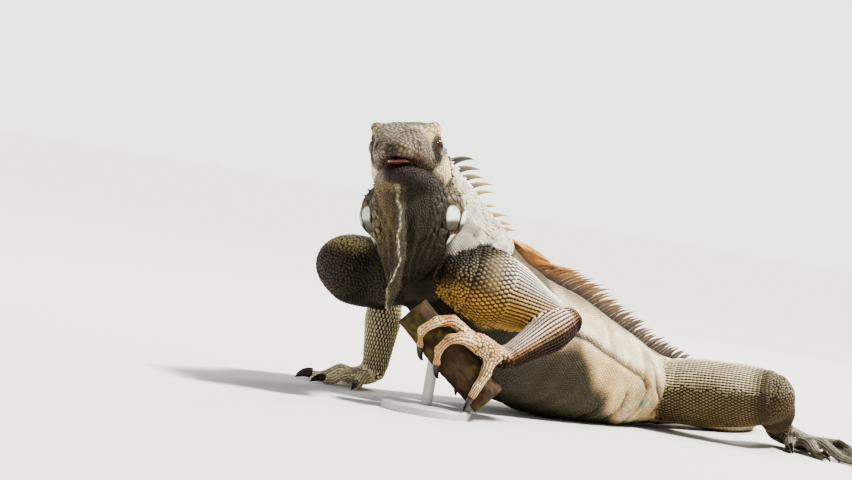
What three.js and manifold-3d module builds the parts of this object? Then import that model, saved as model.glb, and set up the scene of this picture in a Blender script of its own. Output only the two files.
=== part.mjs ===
// Adult male green iguana, life size, as a still display model. Millimetres, +Z up.
// The animal faces -Y with its left side towards +X. Its belly, right hand, hind feet and tail rest on
// the floor, its chest is raised and turned to its left, and its left hand grips a short cut of branch
// that stands on a plain display stand.

import * as THREE from "three";
import Module from "manifold-3d";

const wasm = await Module();
wasm.setup();

// ---------------------------------------------------------------- driving dimensions

const GAP = 0.3; // parting gap between neighbouring nodes
const FLOOR_DEPTH = 40; // thickness of the block that trims the resting flats at z = 0
const FLOOR_SPAN = 4000;

// Body axis from the pelvis to the skull: centre, half width, half height of each station.
const BODY = [
  { at: [0, 176, 27], half: [23, 25] },
  { at: [0, 130, 30], half: [32, 29] },
  { at: [0, 75, 37], half: [46, 41] },
  { at: [0, 18, 48], half: [50, 50] },
  { at: [-1, -38, 63], half: [46, 51] },
  { at: [-5, -84, 93], half: [41, 47] },
  { at: [-11, -114, 130], half: [33, 41] },
  { at: [-10, -142, 158], half: [31, 31] },
  { at: [-1, -160, 164], half: [26, 24] },
];
const BODY_TAPER = 0.24; // share of the width lost towards the back
const TRUNK_SPAN = [0.02, 0.66]; // part of the body axis that is trunk; the neck follows
const NECK_END = 0.9;
const BODY_SIDES = 18;
const TRUNK_RINGS = 14;
const NECK_RINGS = 5;

// Tail: a gentle S on the floor, leaving the pelvis straight back.
const TAIL_LENGTH = 1000;
const TAIL_START = [0, 167];
const TAIL_LEVEL = 27; // height of the tail axis at its root
const TAIL_TURN = 0.83; // radians that the tail turns towards the right
const TAIL_TURN_END = 0.22; // share of its length over which it does so
const TAIL_SWAY = 0.2; // radians of the slow sway after that
const TAIL_SWAYS = 1.6;
const TAIL_SETTLE = 0.08; // share of its length over which it comes down onto the floor
const TAIL_ROOT = [24, 25.5]; // half width, half height
const TAIL_TIP = [1.6, 1.9];
const TAIL_FALL = 1.25; // power of its thinning
const TAIL_CUTS = [0, 0.1, 0.24, 0.42, 0.66, 1];
const TAIL_RINGS = [5, 6, 6, 7, 8];
const TAIL_SIDES = 8;
const FLAT_PRESS = 0.7; // how far a resting part is pressed below z = 0 before the trim

// Head frame: origin at the back of the skull roof, turned and rolled from the floor frame.
const HEAD_ORIGIN = [-15.5, -146.2, 193.3];
const HEAD_TURN = 39; // degrees to the left
const HEAD_ROLL = 9.6; // degrees, left side up
const HEAD_LENGTH = 105;
const HEAD_RINGS = 13;
const HEAD_SIDES = 18;
const HEAD_BOXY = 0.62; // how square the skull section is: 1 is an ellipse
// Along the head from the nape (0) to the snout (1): roof height, mouth-line height, brow half width,
// cheek half width.
const HEAD_PROFILE = [
  { t: -0.1, roof: -8, base: -46, brow: 15, cheek: 25.5 },
  { t: 0.06, roof: 0.5, base: -50, brow: 20, cheek: 28.5 },
  { t: 0.26, roof: 4.5, base: -44, brow: 21.5, cheek: 29.5 },
  { t: 0.48, roof: 6.5, base: -31, brow: 22.5, cheek: 26.5 },
  { t: 0.64, roof: 3, base: -26, brow: 19.5, cheek: 23 },
  { t: 0.8, roof: -3.5, base: -23, brow: 14.5, cheek: 19.5 },
  { t: 0.93, roof: -8, base: -20.8, brow: 10.5, cheek: 15.5 },
  { t: 1, roof: -11, base: -19.8, brow: 6.5, cheek: 10 },
];
const JOWL = { at: [15, 24, -57], half: [20, 14, 19] };
const BROW_RIDGE = { at: [48, 20.2, 1.2], half: [18, 5.2, 4.8] };
const EYE = { at: [52, 18.4, -12.8], radius: 8.2 };
const EYE_SOCKET = { at: [52, 27.6, -12.8], half: [10.5, 6, 7.4] };
const NOSTRIL = { at: [92, 13.8, -12], half: [2.6, 2.4, 2.2] };
const EAR = { at: [15, 26, -23], half: [4.8, 2.2, 6.6] };
// Big pale plate of each jowl: `turn` swings it forward from facing straight out (degrees).
const SHIELD = { at: [26.5, 34.6, -65.5], half: [13, 4.6, 15.5], turn: 35 };

// Lower jaw, from the hinge (0) to the chin (1) of the head length.
const JAW_RINGS = 8;
const JAW_SIDES = 12;
const JAW_BOXY = { top: 0.6, base: 0.85, side: 0.7 };
const JAW_PROFILE = [
  { t: 0.16, top: -38, base: -64, half: 23 },
  { t: 0.3, top: -34, base: -58, half: 24.5 },
  { t: 0.5, top: -29, base: -50, half: 23 },
  { t: 0.68, top: -26.5, base: -43.5, half: 18.5 },
  { t: 0.84, top: -25.2, base: -40, half: 15 },
  { t: 0.93, top: -26, base: -37, half: 11.5 },
  { t: 0.98, top: -27.4, base: -34, half: 7.2 },
];
const TONGUE = { at: [91, 0, -23.2], half: [13.5, 7.4, 3] };

// Throat: a soft bag that hangs from the jaws and narrows into the dewlap, in the head frame.
const THROAT_PROFILE = [
  { drop: -40, centre: 36, half: [42, 25] },
  { drop: -60, centre: 31, half: [42, 30] },
  { drop: -78, centre: 25, half: [38, 27] },
  { drop: -94, centre: 21, half: [33, 19] },
  { drop: -108, centre: 22, half: [26, 9] },
];
const THROAT_NARROW = 0.35; // share of the width lost in front, where the dewlap leaves the bag
const THROAT_SIDES = 12;
const THROAT_RINGS = 5;

// Dewlap: an upright sheet in the middle plane of the head: its outline from the chin round to the
// chest, forward and up.
const DEWLAP_OUTLINE = [
  [91, -36], [91, -52], [90, -72], [86, -92], [80, -110], [71, -123], [61, -128],
  [50, -124], [38, -117], [25, -110], [8, -104], [-4, -96], [-4, -62], [40, -46],
];
const DEWLAP_HALF = 1.6; // half thickness at its rim
const DEWLAP_SWELL = 1.6; // extra half thickness inside the rim
const DEWLAP_RIM = 12; // width of the rim
// The head leans, so the low end of the throat hangs to its right: how far, and between which levels.
const HANG = { side: -13, from: -82, to: -130 };

// Limbs: joint centres with half widths across and along the bend.
const SHOULDER_LEFT = [24, -104, 95];
const SHOULDER_PAD = [25, 23, 27]; // half sizes of the muscle that ties each arm to the chest
const PAD_LEFT = [14, -98, 92];
const PAD_RIGHT = [-37, -127, 92];
const ELBOW_LEFT = [73, -45, 81];
const SHOULDER_RIGHT = [-60, -149, 90];
const ELBOW_RIGHT = [-77, -90, 78];
const WRIST_RIGHT = [-76, -90, 13];
const ARM_SIDES = 10;
const LEG_SIDES = 10;
const LIMB_RINGS = [6, 5]; // of the upper and the lower length of a limb
// Sections of each limb length: share of the way from joint to joint, half sizes, lift of the centre.
const UPPER_ARM_LEFT = [
  { t: -0.1, half: [22, 23], lift: 0 },
  { t: 0.2, half: [26, 28], lift: 1 },
  { t: 0.6, half: [20, 19.5], lift: -3.5 },
  { t: 0.94, half: [12, 10.5], lift: -4.5 },
];
const UPPER_ARM_RIGHT = [
  { t: -0.1, half: [22, 23], lift: 0 },
  { t: 0.2, half: [26, 28], lift: 1 },
  { t: 0.6, half: [21.5, 24], lift: 1 },
  { t: 1, half: [14.5, 15.5], lift: 0 },
];
const FOREARM = [
  { t: 0.06, half: [10, 10], lift: 0 },
  { t: 0.32, half: [14.5, 15], lift: 0 },
  { t: 0.7, half: [11.5, 12], lift: 0 },
  { t: 1, half: [10, 8], lift: 0 },
];
const THIGH = [
  { t: -0.1, half: [22, 24], lift: 0 },
  { t: 0.3, half: [27, 27.5], lift: 0 },
  { t: 0.72, half: [24, 26], lift: 0 },
  { t: 1, half: [18, 21], lift: 0 },
];
const SHANK = [
  { t: 0.06, half: [14, 15], lift: 0 },
  { t: 0.35, half: [16.5, 17], lift: 0 },
  { t: 0.75, half: [11.5, 11], lift: 0 },
  { t: 1, half: [10, 8.5], lift: 0 },
];

const HIP_LEFT = [20, 128, 31];
const KNEE_LEFT = [100, 166, 41];
const ANKLE_LEFT = [68, 220, 12];
const HIP_RIGHT = [-20, 128, 33];
const KNEE_RIGHT = [-97, 133, 30];
const ANKLE_RIGHT = [-92, 192, 12];

// Laid hand and feet: `angle` of each digit from the heading (degrees), its length, the height of its
// knuckle arch, and the part of the palm's length at which it leaves.
const CLAW_LENGTH = 11;
const CLAW_DROP = 0.62; // fall of a claw's tip as a share of its length
const CLAW_THICK = 0.62; // claw radius as a share of its digit's radius
const HAND_LAID = {
  heading: -48,
  palm: 17,
  palmHalf: 11,
  radius: 5,
  digits: [
    { angle: 84, length: 24, arch: 2, from: 0.75 },
    { angle: 40, length: 30, arch: 4, from: 1 },
    { angle: 12, length: 35, arch: 7, from: 1 },
    { angle: -12, length: 37, arch: 7, from: 1 },
    { angle: -46, length: 27, arch: 3, from: 0.8 },
  ],
};
const FOOT_HEADING = { l: 84, r: -62 };
const FOOT = {
  palm: 36,
  palmHalf: 12.5,
  radius: 5.2,
  digits: [
    { angle: -38, length: 30, arch: 2, from: 0.75 },
    { angle: -20, length: 48, arch: 4, from: 1 },
    { angle: -5, length: 66, arch: 6, from: 1 },
    { angle: 12, length: 80, arch: 7, from: 1 },
    { angle: 46, length: 52, arch: 4, from: 0.7 },
  ],
};
const DIGIT_SIDES = 5;
const DIGIT_TAPER = 0.74; // digit radius at its tip as a share of that at its root
const CLAW_SIDES = 4;
const CLAW_RINGS = 2;
const PALM_SIDES = 8;
const PALM_DEPTH = [8, 7.6]; // half depth of the palm at the wrist and in its middle

// Branch and stand.
const BRANCH_FOOT = [90.5, -98, -7.7];
const BRANCH_HEAD = [22.8, -166, 76];
const BRANCH_SPAN = [0.28, 0.93]; // part of that line which is kept
const BRANCH_RADIUS = 14.5;
const BARK_LUMP = 0.47; // half the height of the bark's swells
const BRANCH_RINGS = 7;
const BRANCH_SIDES = 14;
const STAND_RADIUS = 32;
const STAND_THICK = 6;
const STAND_BEVEL = 1.2;
const STAND_SIDES = 28;
const ROD_RADIUS = 4;
const ROD_SIDES = 12;
const ROD_TOP = 38;
const STAND_PLACE = 0.72; // where the rod meets the branch, as a share of the branch line
const KNUCKLE_SIDE = [0.72, -0.69, 0.02]; // the side of the branch that the knuckles lie on

// Hand that grips the branch: digits given as [distance up the branch, angle round it] stations.
const GRIP_RADIUS = 5.2;
const GRIP_WRIST_AT = [50, 27, 4]; // up the branch, out from its axis, angle round it
const GRIP_PALM = [
  { at: [52.5, 26.4, 4], half: [8, 6] },
  { at: [60, 24, 6], half: [12, 7.5] },
  { at: [71, 21.5, 4], half: [12, 7] },
];
const GRIP_DIGITS = [
  [[56, 28], [52, 56], [49, 86], [46, 112]],
  [[66, 22], [80, 36], [87, 68], [86, 102], [79, 126]],
  [[74, 8], [95, 26], [102, 66], [104, 104], [96, 130]],
  [[74, -14], [90, -30], [98, -66], [94, -100], [86, -124]],
  [[62, -22], [68, -52], [66, -84], [60, -110]],
];

// Crest: rows of flat spines on a low keel of skin, their number, and the spine length at both ends.
const CREST_SINK = 2.5; // how deep the keel starts below the crown of the back, before it is cut clear
const CREST_HALF = 2.2; // half thickness of the keel at its foot
const KEEL_TOP = 0.6; // thickness of the keel's top as a share of its foot
const SPINE_HALF = 0.5; // half thickness of a spine at its tip
const SPINE_LEAN = 0.62; // backward lean of a spine, as a share of its length
const SPINE_PEAK = 0.45; // where along its foot a spine stands highest
const BACK_CREST = {
  span: [0.652, 0.03], count: 28, tall: [21, 8.8], ease: 0.8, keel: [2.6, 2.6], fill: 1,
};
const NAPE_CREST = {
  span: [0.86, 0.67], count: 9, tall: [8, 16], ease: 1, keel: [1.6, 1.6], fill: 0.45,
};
const TAIL_CREST = {
  span: [0.004, 0.42], count: 22, tall: [8.5, 1.5], ease: 0.7, keel: [2, 0.9], fill: 1,
};

// ---------------------------------------------------------------- colours

const MATERIALS = {
  skin: { color: 0xa39a7e, roughness: 0.75, metalness: 0 },
  arm: { color: 0xb9a57c, roughness: 0.7, metalness: 0 },
  throat: { color: 0x7d6f55, roughness: 0.8, metalness: 0 },
  shield: { color: 0xc9d6cf, roughness: 0.4, metalness: 0 },
  eye: { color: 0x3a2413, roughness: 0.1, metalness: 0 },
  ear: { color: 0x9c937c, roughness: 0.45, metalness: 0 },
  tongue: { color: 0xb5625c, roughness: 0.35, metalness: 0 },
  claw: { color: 0x2a1d15, roughness: 0.35, metalness: 0 },
  crest: { color: 0x8a5a33, roughness: 0.6, metalness: 0 },
  bark: { color: 0x5d5240, roughness: 0.9, metalness: 0 },
  stand: { color: 0xd8d5ce, roughness: 0.6, metalness: 0 },
};

// ---------------------------------------------------------------- geometry helpers

const V = (x, y, z) => new THREE.Vector3(x, y, z);
const vec = (a) => V(a[0], a[1], a[2]);
const UP = V(0, 0, 1);
const radians = THREE.MathUtils.degToRad;
const lerp = THREE.MathUtils.lerp;

function solidOf(points, faces) {
  const vertProperties = new Float32Array(points.length * 3);
  points.forEach((p, i) => vertProperties.set([p.x, p.y, p.z], 3 * i));
  return new wasm.Manifold(
    new wasm.Mesh({ numProp: 3, vertProperties, triVerts: new Uint32Array(faces) }),
  );
}

// Closed loft through rings of equal count, each ring anticlockwise seen from the last ring.
// The ends close on the given tip points.
function loft(rings, firstTip, lastTip) {
  const n = rings[0].length;
  const points = rings.flat();
  const faces = [];
  for (let k = 0; k + 1 < rings.length; k++) {
    for (let i = 0; i < n; i++) {
      const a = k * n + i;
      const b = k * n + ((i + 1) % n);
      faces.push(a, b, b + n, a, b + n, a + n);
    }
  }
  const first = points.push(firstTip) - 1;
  const last = points.push(lastTip) - 1;
  const top = (rings.length - 1) * n;
  for (let i = 0; i < n; i++) {
    const j = (i + 1) % n;
    faces.push(first, j, i);
    faces.push(last, top + i, top + j);
  }
  return solidOf(points, faces);
}

function centroid(ring) {
  return ring.reduce((sum, p) => sum.add(p), V(0, 0, 0)).divideScalar(ring.length);
}

// Ellipsoid at a point, half sizes along three given axes.
function ellipsoid(centre, half, axes, sides = 12, levels = 6) {
  const place = (a, b, c) => centre.clone()
    .addScaledVector(axes[0], a * half[0])
    .addScaledVector(axes[1], b * half[1])
    .addScaledVector(axes[2], c * half[2]);
  const rings = [];
  for (let k = 1; k < levels; k++) {
    const polar = Math.PI * (k / levels) - Math.PI / 2;
    const ring = [];
    for (let i = 0; i < sides; i++) {
      const turn = (2 * Math.PI * i) / sides;
      const out = Math.cos(polar);
      ring.push(place(out * Math.cos(turn), out * Math.sin(turn), Math.sin(polar)));
    }
    rings.push(ring);
  }
  return loft(rings, place(0, 0, -1), place(0, 0, 1));
}

// Smooth limb through stations { at, half: [across, along up] }, with rounded ends: `cap` is their depth
// as a share of the limb's size there, and `shoulders` rounds them with one more ring. `grow` thickens
// it all round, for cutting a neighbour clear of it.
const SHOULDER_OUT = 0.68;
const SHOULDER_IN = 0.73;

function tube(stations, options, grow = 0) {
  const { sides, rings, up = UP, cap = 1, shoulders = true } = options;
  const path = new THREE.CatmullRomCurve3(stations.map((s) => vec(s.at)), false, "centripetal");
  const sizes = new THREE.CatmullRomCurve3(
    stations.map((s, i) => V(s.half[0], s.half[1], i)), false, "centripetal",
  );
  const last = stations.length - 1;
  const sizeAt = (t) => {
    const whole = Math.min(last - 1, Math.floor(t * last));
    const part = t * last - whole;
    const smooth = part * part * (3 - 2 * part);
    const a = stations[whole].half;
    const b = stations[whole + 1].half;
    const blend = (i) => 0.5 * (lerp(a[i], b[i], smooth) + sizes.getPoint(t).getComponent(i));
    return [blend(0) + grow, blend(1) + grow];
  };
  const frameAt = (t) => {
    const along = path.getTangent(t).normalize();
    const side = up.clone().cross(along).normalize();
    return { centre: path.getPoint(t), along, side, top: along.clone().cross(side) };
  };
  const ringAt = (t, shift, scale) => {
    const { centre, along, side, top } = frameAt(t);
    const [w, h] = sizeAt(t);
    const ring = [];
    for (let i = 0; i < sides; i++) {
      const turn = (2 * Math.PI * i) / sides;
      ring.push(centre.clone()
        .addScaledVector(along, shift)
        .addScaledVector(side, w * scale * Math.cos(turn))
        .addScaledVector(top, h * scale * Math.sin(turn)));
    }
    return ring;
  };
  const capDepth = (t) => cap * Math.min(...sizeAt(t));
  const all = [];
  if (shoulders) all.push(ringAt(0, -SHOULDER_OUT * capDepth(0), SHOULDER_IN));
  for (let k = 0; k <= rings; k++) {
    all.push(ringAt(k / rings, 0, 1));
  }
  if (shoulders) all.push(ringAt(1, SHOULDER_OUT * capDepth(1), SHOULDER_IN));
  const start = frameAt(0);
  const end = frameAt(1);
  return loft(
    all,
    start.centre.addScaledVector(start.along, -capDepth(0)),
    end.centre.addScaledVector(end.along, capDepth(1)),
  );
}

// Moves the first ring of a length back and its last ring forward by `out`.
const endShift = (k, count, out) => (k === 0 ? -out : k === count ? out : 0);

function box(size, centre) {
  const half = size.map((s) => s / 2);
  const ring = (z) => [[1, -1], [1, 1], [-1, 1], [-1, -1]].map(
    ([x, y]) => V(centre[0] + x * half[0], centre[1] + y * half[1], z),
  );
  const low = ring(centre[2] - half[2]);
  const high = ring(centre[2] + half[2]);
  return loft([low, high], centroid(low), centroid(high));
}

const FLOOR = box([FLOOR_SPAN, FLOOR_SPAN, FLOOR_DEPTH], [0, 0, -FLOOR_DEPTH / 2]);

// Squares a sine or cosine off: power 1 keeps the ellipse, 0 makes a box.
const boxy = (value, power) => Math.sign(value) * Math.abs(value) ** power;

const cutClear = (solid, ...others) => others.reduce((rest, other) => rest.subtract(other), solid);
const join = (...solids) => solids.reduce((sum, solid) => sum.add(solid));

// ---------------------------------------------------------------- node registry

const group = new THREE.Group();
group.name = "green_iguana";

function addNode(name, solid, material) {
  const mesh = solid.getMesh();
  const count = mesh.vertProperties.length / mesh.numProp;
  const position = new Float32Array(count * 3);
  for (let i = 0; i < count; i++) {
    const start = i * mesh.numProp;
    position.set(mesh.vertProperties.subarray(start, start + 3), 3 * i);
  }
  const geometry = new THREE.BufferGeometry();
  geometry.setAttribute("position", new THREE.BufferAttribute(position, 3));
  geometry.setIndex(new THREE.BufferAttribute(new Uint32Array(mesh.triVerts), 1));
  geometry.computeVertexNormals();
  const made = new THREE.Mesh(geometry, new THREE.MeshStandardMaterial(MATERIALS[material]));
  made.name = name;
  group.add(made);
  return solid;
}

// ---------------------------------------------------------------- trunk and neck

const bodyPath = new THREE.CatmullRomCurve3(BODY.map((s) => vec(s.at)), false, "centripetal");

function bodySize(t) {
  const last = BODY.length - 1;
  const whole = Math.min(last - 1, Math.floor(t * last));
  const part = t * last - whole;
  const smooth = part * part * (3 - 2 * part);
  return [0, 1].map((i) => lerp(BODY[whole].half[i], BODY[whole + 1].half[i], 0.5 * (part + smooth)));
}

function bodyFrame(t) {
  const along = bodyPath.getTangent(t).normalize();
  const side = UP.clone().cross(along).normalize();
  return { centre: bodyPath.getPoint(t), along, side, top: along.clone().cross(side) };
}

function bodyRing(t, shift, grow) {
  const { centre, along, side, top } = bodyFrame(t);
  const [w, h] = bodySize(t);
  const ring = [];
  for (let i = 0; i < BODY_SIDES; i++) {
    const turn = (2 * Math.PI * i) / BODY_SIDES;
    const narrow = 1 - BODY_TAPER * Math.max(0, Math.sin(turn)) ** 1.5;
    ring.push(centre.clone()
      .addScaledVector(along, shift)
      .addScaledVector(side, (w + grow) * narrow * Math.cos(turn))
      .addScaledVector(top, (h + grow) * Math.sin(turn)));
  }
  return ring;
}

// A length of the body between two places on its axis, both ends cut square.
function bodyLength(from, to, count, inset, grow = 0) {
  const rings = [];
  for (let k = 0; k <= count; k++) {
    const shift = endShift(k, count, grow - inset);
    rings.push(bodyRing(lerp(from, to, k / count), shift, grow));
  }
  return loft(rings, centroid(rings[0]), centroid(rings[count]));
}

const trunkShape = (grow) => bodyLength(...TRUNK_SPAN, TRUNK_RINGS, GAP / 2, grow);
const neckShape = (grow) => bodyLength(TRUNK_SPAN[1], NECK_END, NECK_RINGS, GAP / 2, grow);

// ---------------------------------------------------------------- tail

function tailHeading(s) {
  const bend = THREE.MathUtils.smoothstep(s, 0, TAIL_TURN_END);
  const sway = Math.sin(2 * Math.PI * TAIL_SWAYS * s) * TAIL_SWAY * s;
  return TAIL_TURN * bend + sway;
}

function tailSize(s) {
  const fall = (1 - s) ** TAIL_FALL;
  return [0, 1].map((i) => TAIL_TIP[i] + (TAIL_ROOT[i] - TAIL_TIP[i]) * fall);
}

const TAIL_STEPS = 200;
const tailPlan = [V(TAIL_START[0], TAIL_START[1], 0)];
for (let k = 0; k < TAIL_STEPS; k++) {
  const heading = tailHeading((k + 0.5) / TAIL_STEPS);
  const step = V(-Math.sin(heading), Math.cos(heading), 0).multiplyScalar(TAIL_LENGTH / TAIL_STEPS);
  tailPlan.push(tailPlan[k].clone().add(step));
}

function tailFrame(s) {
  const place = s * TAIL_STEPS;
  const whole = Math.min(TAIL_STEPS - 1, Math.floor(place));
  const centre = tailPlan[whole].clone().lerp(tailPlan[whole + 1], place - whole);
  const height = tailSize(s)[1];
  const settle = THREE.MathUtils.smoothstep(s, 0, TAIL_SETTLE);
  const underside = height * Math.cos(Math.PI / TAIL_SIDES);
  centre.z = lerp(TAIL_LEVEL, underside - FLAT_PRESS, settle);
  const heading = tailHeading(s);
  const along = V(-Math.sin(heading), Math.cos(heading), 0);
  return { centre, along, side: along.clone().cross(UP) };
}

function tailRing(s, shift, grow) {
  const { centre, along, side } = tailFrame(s);
  const [w, h] = tailSize(s);
  const ring = [];
  for (let i = 0; i < TAIL_SIDES; i++) {
    const turn = (2 * Math.PI * (i + 0.5)) / TAIL_SIDES;
    ring.push(centre.clone()
      .addScaledVector(along, shift)
      .addScaledVector(side, -(w + grow) * Math.cos(turn))
      .addScaledVector(UP, (h + grow) * Math.sin(turn)));
  }
  return ring;
}

function tailLength(index, grow = 0) {
  const count = TAIL_RINGS[index];
  const rings = [];
  for (let k = 0; k <= count; k++) {
    const shift = endShift(k, count, grow - GAP / 2);
    rings.push(tailRing(lerp(TAIL_CUTS[index], TAIL_CUTS[index + 1], k / count), shift, grow));
  }
  return loft(rings, centroid(rings[0]), centroid(rings[count]));
}

// ---------------------------------------------------------------- head

const headForward = V(Math.sin(radians(HEAD_TURN)), -Math.cos(radians(HEAD_TURN)), 0);
const headLevel = V(Math.cos(radians(HEAD_TURN)), Math.sin(radians(HEAD_TURN)), 0);
const headLeft = headLevel.clone().multiplyScalar(Math.cos(radians(HEAD_ROLL)))
  .addScaledVector(UP, Math.sin(radians(HEAD_ROLL)));
const headUp = headForward.clone().cross(headLeft);
const headAxes = [headForward, headLeft, headUp];

// A point of the head frame: forward, left, up.
const headPoint = (f, l, u) => vec(HEAD_ORIGIN)
  .addScaledVector(headForward, f).addScaledVector(headLeft, l).addScaledVector(headUp, u);

const headBall = ({ at, half }, side, grow = 0, sides = 8, levels = 4) => ellipsoid(
  headPoint(at[0], side * at[1], at[2]), half.map((h) => h + grow), headAxes, sides, levels,
);

// Sideways place of what hangs under the head, at a height of the head frame.
const hang = (u) => HANG.side * THREE.MathUtils.smoothstep(-u, -HANG.from, -HANG.to);

// The big plate of one jowl, swung forward by its own turn.
function shieldShape(side, grow = 0) {
  const { at, half, turn } = SHIELD;
  const swing = radians(side * turn);
  const axes = [
    headForward.clone().multiplyScalar(Math.cos(swing)).addScaledVector(headLeft, -Math.sin(swing)),
    headLeft.clone().multiplyScalar(Math.cos(swing)).addScaledVector(headForward, Math.sin(swing)),
    headUp,
  ];
  const centre = headPoint(at[0], side * at[1], at[2]);
  return ellipsoid(centre, half.map((h) => h + grow), axes, 12, 6);
}

// Reads a profile table at t, every named size blended smoothly.
function profileAt(table, t) {
  let k = 0;
  while (k < table.length - 2 && table[k + 1].t < t) k++;
  const part = THREE.MathUtils.clamp((t - table[k].t) / (table[k + 1].t - table[k].t), 0, 1);
  const made = {};
  for (const key of Object.keys(table[k])) {
    made[key] = lerp(table[k][key], table[k + 1][key], part);
  }
  return made;
}

function skullRing(t, grow) {
  const { roof, base, brow, cheek } = profileAt(HEAD_PROFILE, t);
  const middle = (roof + base) / 2;
  const tall = (roof - base) / 2 + grow;
  const ring = [];
  for (let i = 0; i < HEAD_SIDES; i++) {
    const turn = (2 * Math.PI * i) / HEAD_SIDES;
    const rise = boxy(Math.sin(turn), HEAD_BOXY);
    const reach = boxy(Math.cos(turn), HEAD_BOXY);
    const wide = lerp(cheek, brow, THREE.MathUtils.smoothstep(rise, -0.5, 1)) + grow;
    ring.push(headPoint(t * HEAD_LENGTH, reach * wide, middle + rise * tall));
  }
  return ring;
}

function skullLoft(grow) {
  const rings = [];
  const start = HEAD_PROFILE[0].t;
  for (let k = 0; k <= HEAD_RINGS; k++) {
    rings.push(skullRing(lerp(start, 1, (k / HEAD_RINGS) ** 0.92), grow));
  }
  const tip = centroid(rings[HEAD_RINGS]).addScaledVector(headForward, 1.5 + grow);
  return loft(rings, centroid(rings[0]).addScaledVector(headForward, -grow), tip);
}

function headShape(grow = 0) {
  let made = skullLoft(grow);
  for (const side of [1, -1]) {
    made = join(
      made, headBall(JOWL, side, grow, 10, 6), headBall(BROW_RIDGE, side, grow),
    );
  }
  return made;
}

function jawShape(grow = 0) {
  const rings = [];
  const start = JAW_PROFILE[0].t;
  const end = JAW_PROFILE[JAW_PROFILE.length - 1].t;
  for (let k = 0; k <= JAW_RINGS; k++) {
    const t = lerp(start, end, k / JAW_RINGS);
    const { top, base, half } = profileAt(JAW_PROFILE, t);
    const ring = [];
    for (let i = 0; i < JAW_SIDES; i++) {
      const turn = (2 * Math.PI * i) / JAW_SIDES;
      const rise = boxy(Math.sin(turn), Math.sin(turn) > 0 ? JAW_BOXY.top : JAW_BOXY.base);
      const reach = boxy(Math.cos(turn), JAW_BOXY.side);
      ring.push(headPoint(
        t * HEAD_LENGTH, reach * (half + grow), (top + base) / 2 + rise * ((top - base) / 2 + grow),
      ));
    }
    rings.push(ring);
  }
  const tip = centroid(rings[JAW_RINGS]).addScaledVector(headForward, 1.5 + grow);
  return loft(rings, centroid(rings[0]).addScaledVector(headForward, -grow), tip);
}

// The bag of the throat, ringed level by level from the jaws down.
function throatShape(grow = 0) {
  const last = THROAT_PROFILE.length - 1;
  const rings = [];
  for (let k = THROAT_RINGS; k >= 0; k--) {
    const place = (k / THROAT_RINGS) * last;
    const whole = Math.min(last - 1, Math.floor(place));
    const part = place - whole;
    const a = THROAT_PROFILE[whole];
    const b = THROAT_PROFILE[whole + 1];
    const centre = lerp(a.centre, b.centre, part);
    const long = lerp(a.half[0], b.half[0], part) + grow;
    const wide = lerp(a.half[1], b.half[1], part) + grow;
    const ring = [];
    for (let i = 0; i < THROAT_SIDES; i++) {
      const turn = (2 * Math.PI * i) / THROAT_SIDES;
      const narrow = 1 - THROAT_NARROW * Math.max(0, Math.cos(turn)) ** 2;
      const drop = lerp(a.drop, b.drop, part);
      ring.push(headPoint(
        centre + long * Math.cos(turn), hang(drop) + wide * narrow * Math.sin(turn), drop,
      ));
    }
    rings.push(ring);
  }
  const tip = centroid(rings[0]).addScaledVector(headUp, -4 - grow);
  return loft(rings, tip, centroid(rings[THROAT_RINGS]));
}

function dewlapShape(grow = 0) {
  const outline = DEWLAP_OUTLINE.map(([f, u]) => new THREE.Vector2(f, u));
  const middle = new THREE.Vector2();
  outline.forEach((p) => middle.addScaledVector(p, 1 / outline.length));
  const ringAt = (inset, half) => outline.map((p) => {
    const away = p.clone().sub(middle);
    const q = middle.clone().addScaledVector(away.clone().normalize(), away.length() - inset + grow);
    return headPoint(q.x, hang(q.y) + half, q.y);
  });
  const thick = DEWLAP_HALF + grow;
  const rings = [
    ringAt(DEWLAP_RIM, -thick - DEWLAP_SWELL),
    ringAt(0, -thick),
    ringAt(0, thick),
    ringAt(DEWLAP_RIM, thick + DEWLAP_SWELL),
  ];
  return loft(rings, centroid(rings[0]), centroid(rings[3]));
}

// ---------------------------------------------------------------- limbs

const between = (a, b, t, lift) => vec(a).lerp(vec(b), t).addScaledVector(UP, lift).toArray();

// One length of a limb, from its table of sections.
function limbLength(table, from, to, options, grow) {
  const stations = table.map(({ t, half, lift }) => ({ at: between(from, to, t, lift), half }));
  return tube(stations, options, grow);
}

function upperArm(table, shoulder, elbow, pad, grow = 0) {
  const padHalf = SHOULDER_PAD.map((h) => h + grow);
  const muscle = ellipsoid(vec(pad), padHalf, [V(1, 0, 0), V(0, 1, 0), UP], 10, 5);
  const options = { sides: ARM_SIDES, rings: LIMB_RINGS[0] };
  return join(muscle, limbLength(table, shoulder, elbow, options, grow));
}

const foreArm = (elbow, wrist, up, grow = 0) => limbLength(
  FOREARM, elbow, wrist, { sides: ARM_SIDES, rings: LIMB_RINGS[1], up }, grow,
);

const thighShape = (hip, knee, grow = 0) => limbLength(
  THIGH, hip, knee, { sides: LEG_SIDES, rings: LIMB_RINGS[0] }, grow,
);

const shankShape = (knee, ankle, grow = 0) => limbLength(
  SHANK, knee, ankle, { sides: LEG_SIDES, rings: LIMB_RINGS[1] }, grow,
);

// ---------------------------------------------------------------- digits and claws

function digitTube(path, radius, grow = 0) {
  const last = path.length - 1;
  return tube(path.map((p, i) => {
    const r = radius * lerp(1, DIGIT_TAPER, i / last);
    return { at: p.toArray(), half: [r, r * 0.95] };
  }), { sides: DIGIT_SIDES, rings: last, shoulders: false, cap: 0.8 }, grow);
}

// A curved claw that leaves the digit's end, arches and comes down at the tip.
const CLAW_ARCH = 1.35; // radians of the arch
const CLAW_BEND = 1.1; // radians that its sections turn
const CLAW_NARROW = 0.72; // width as a share of depth

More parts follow.
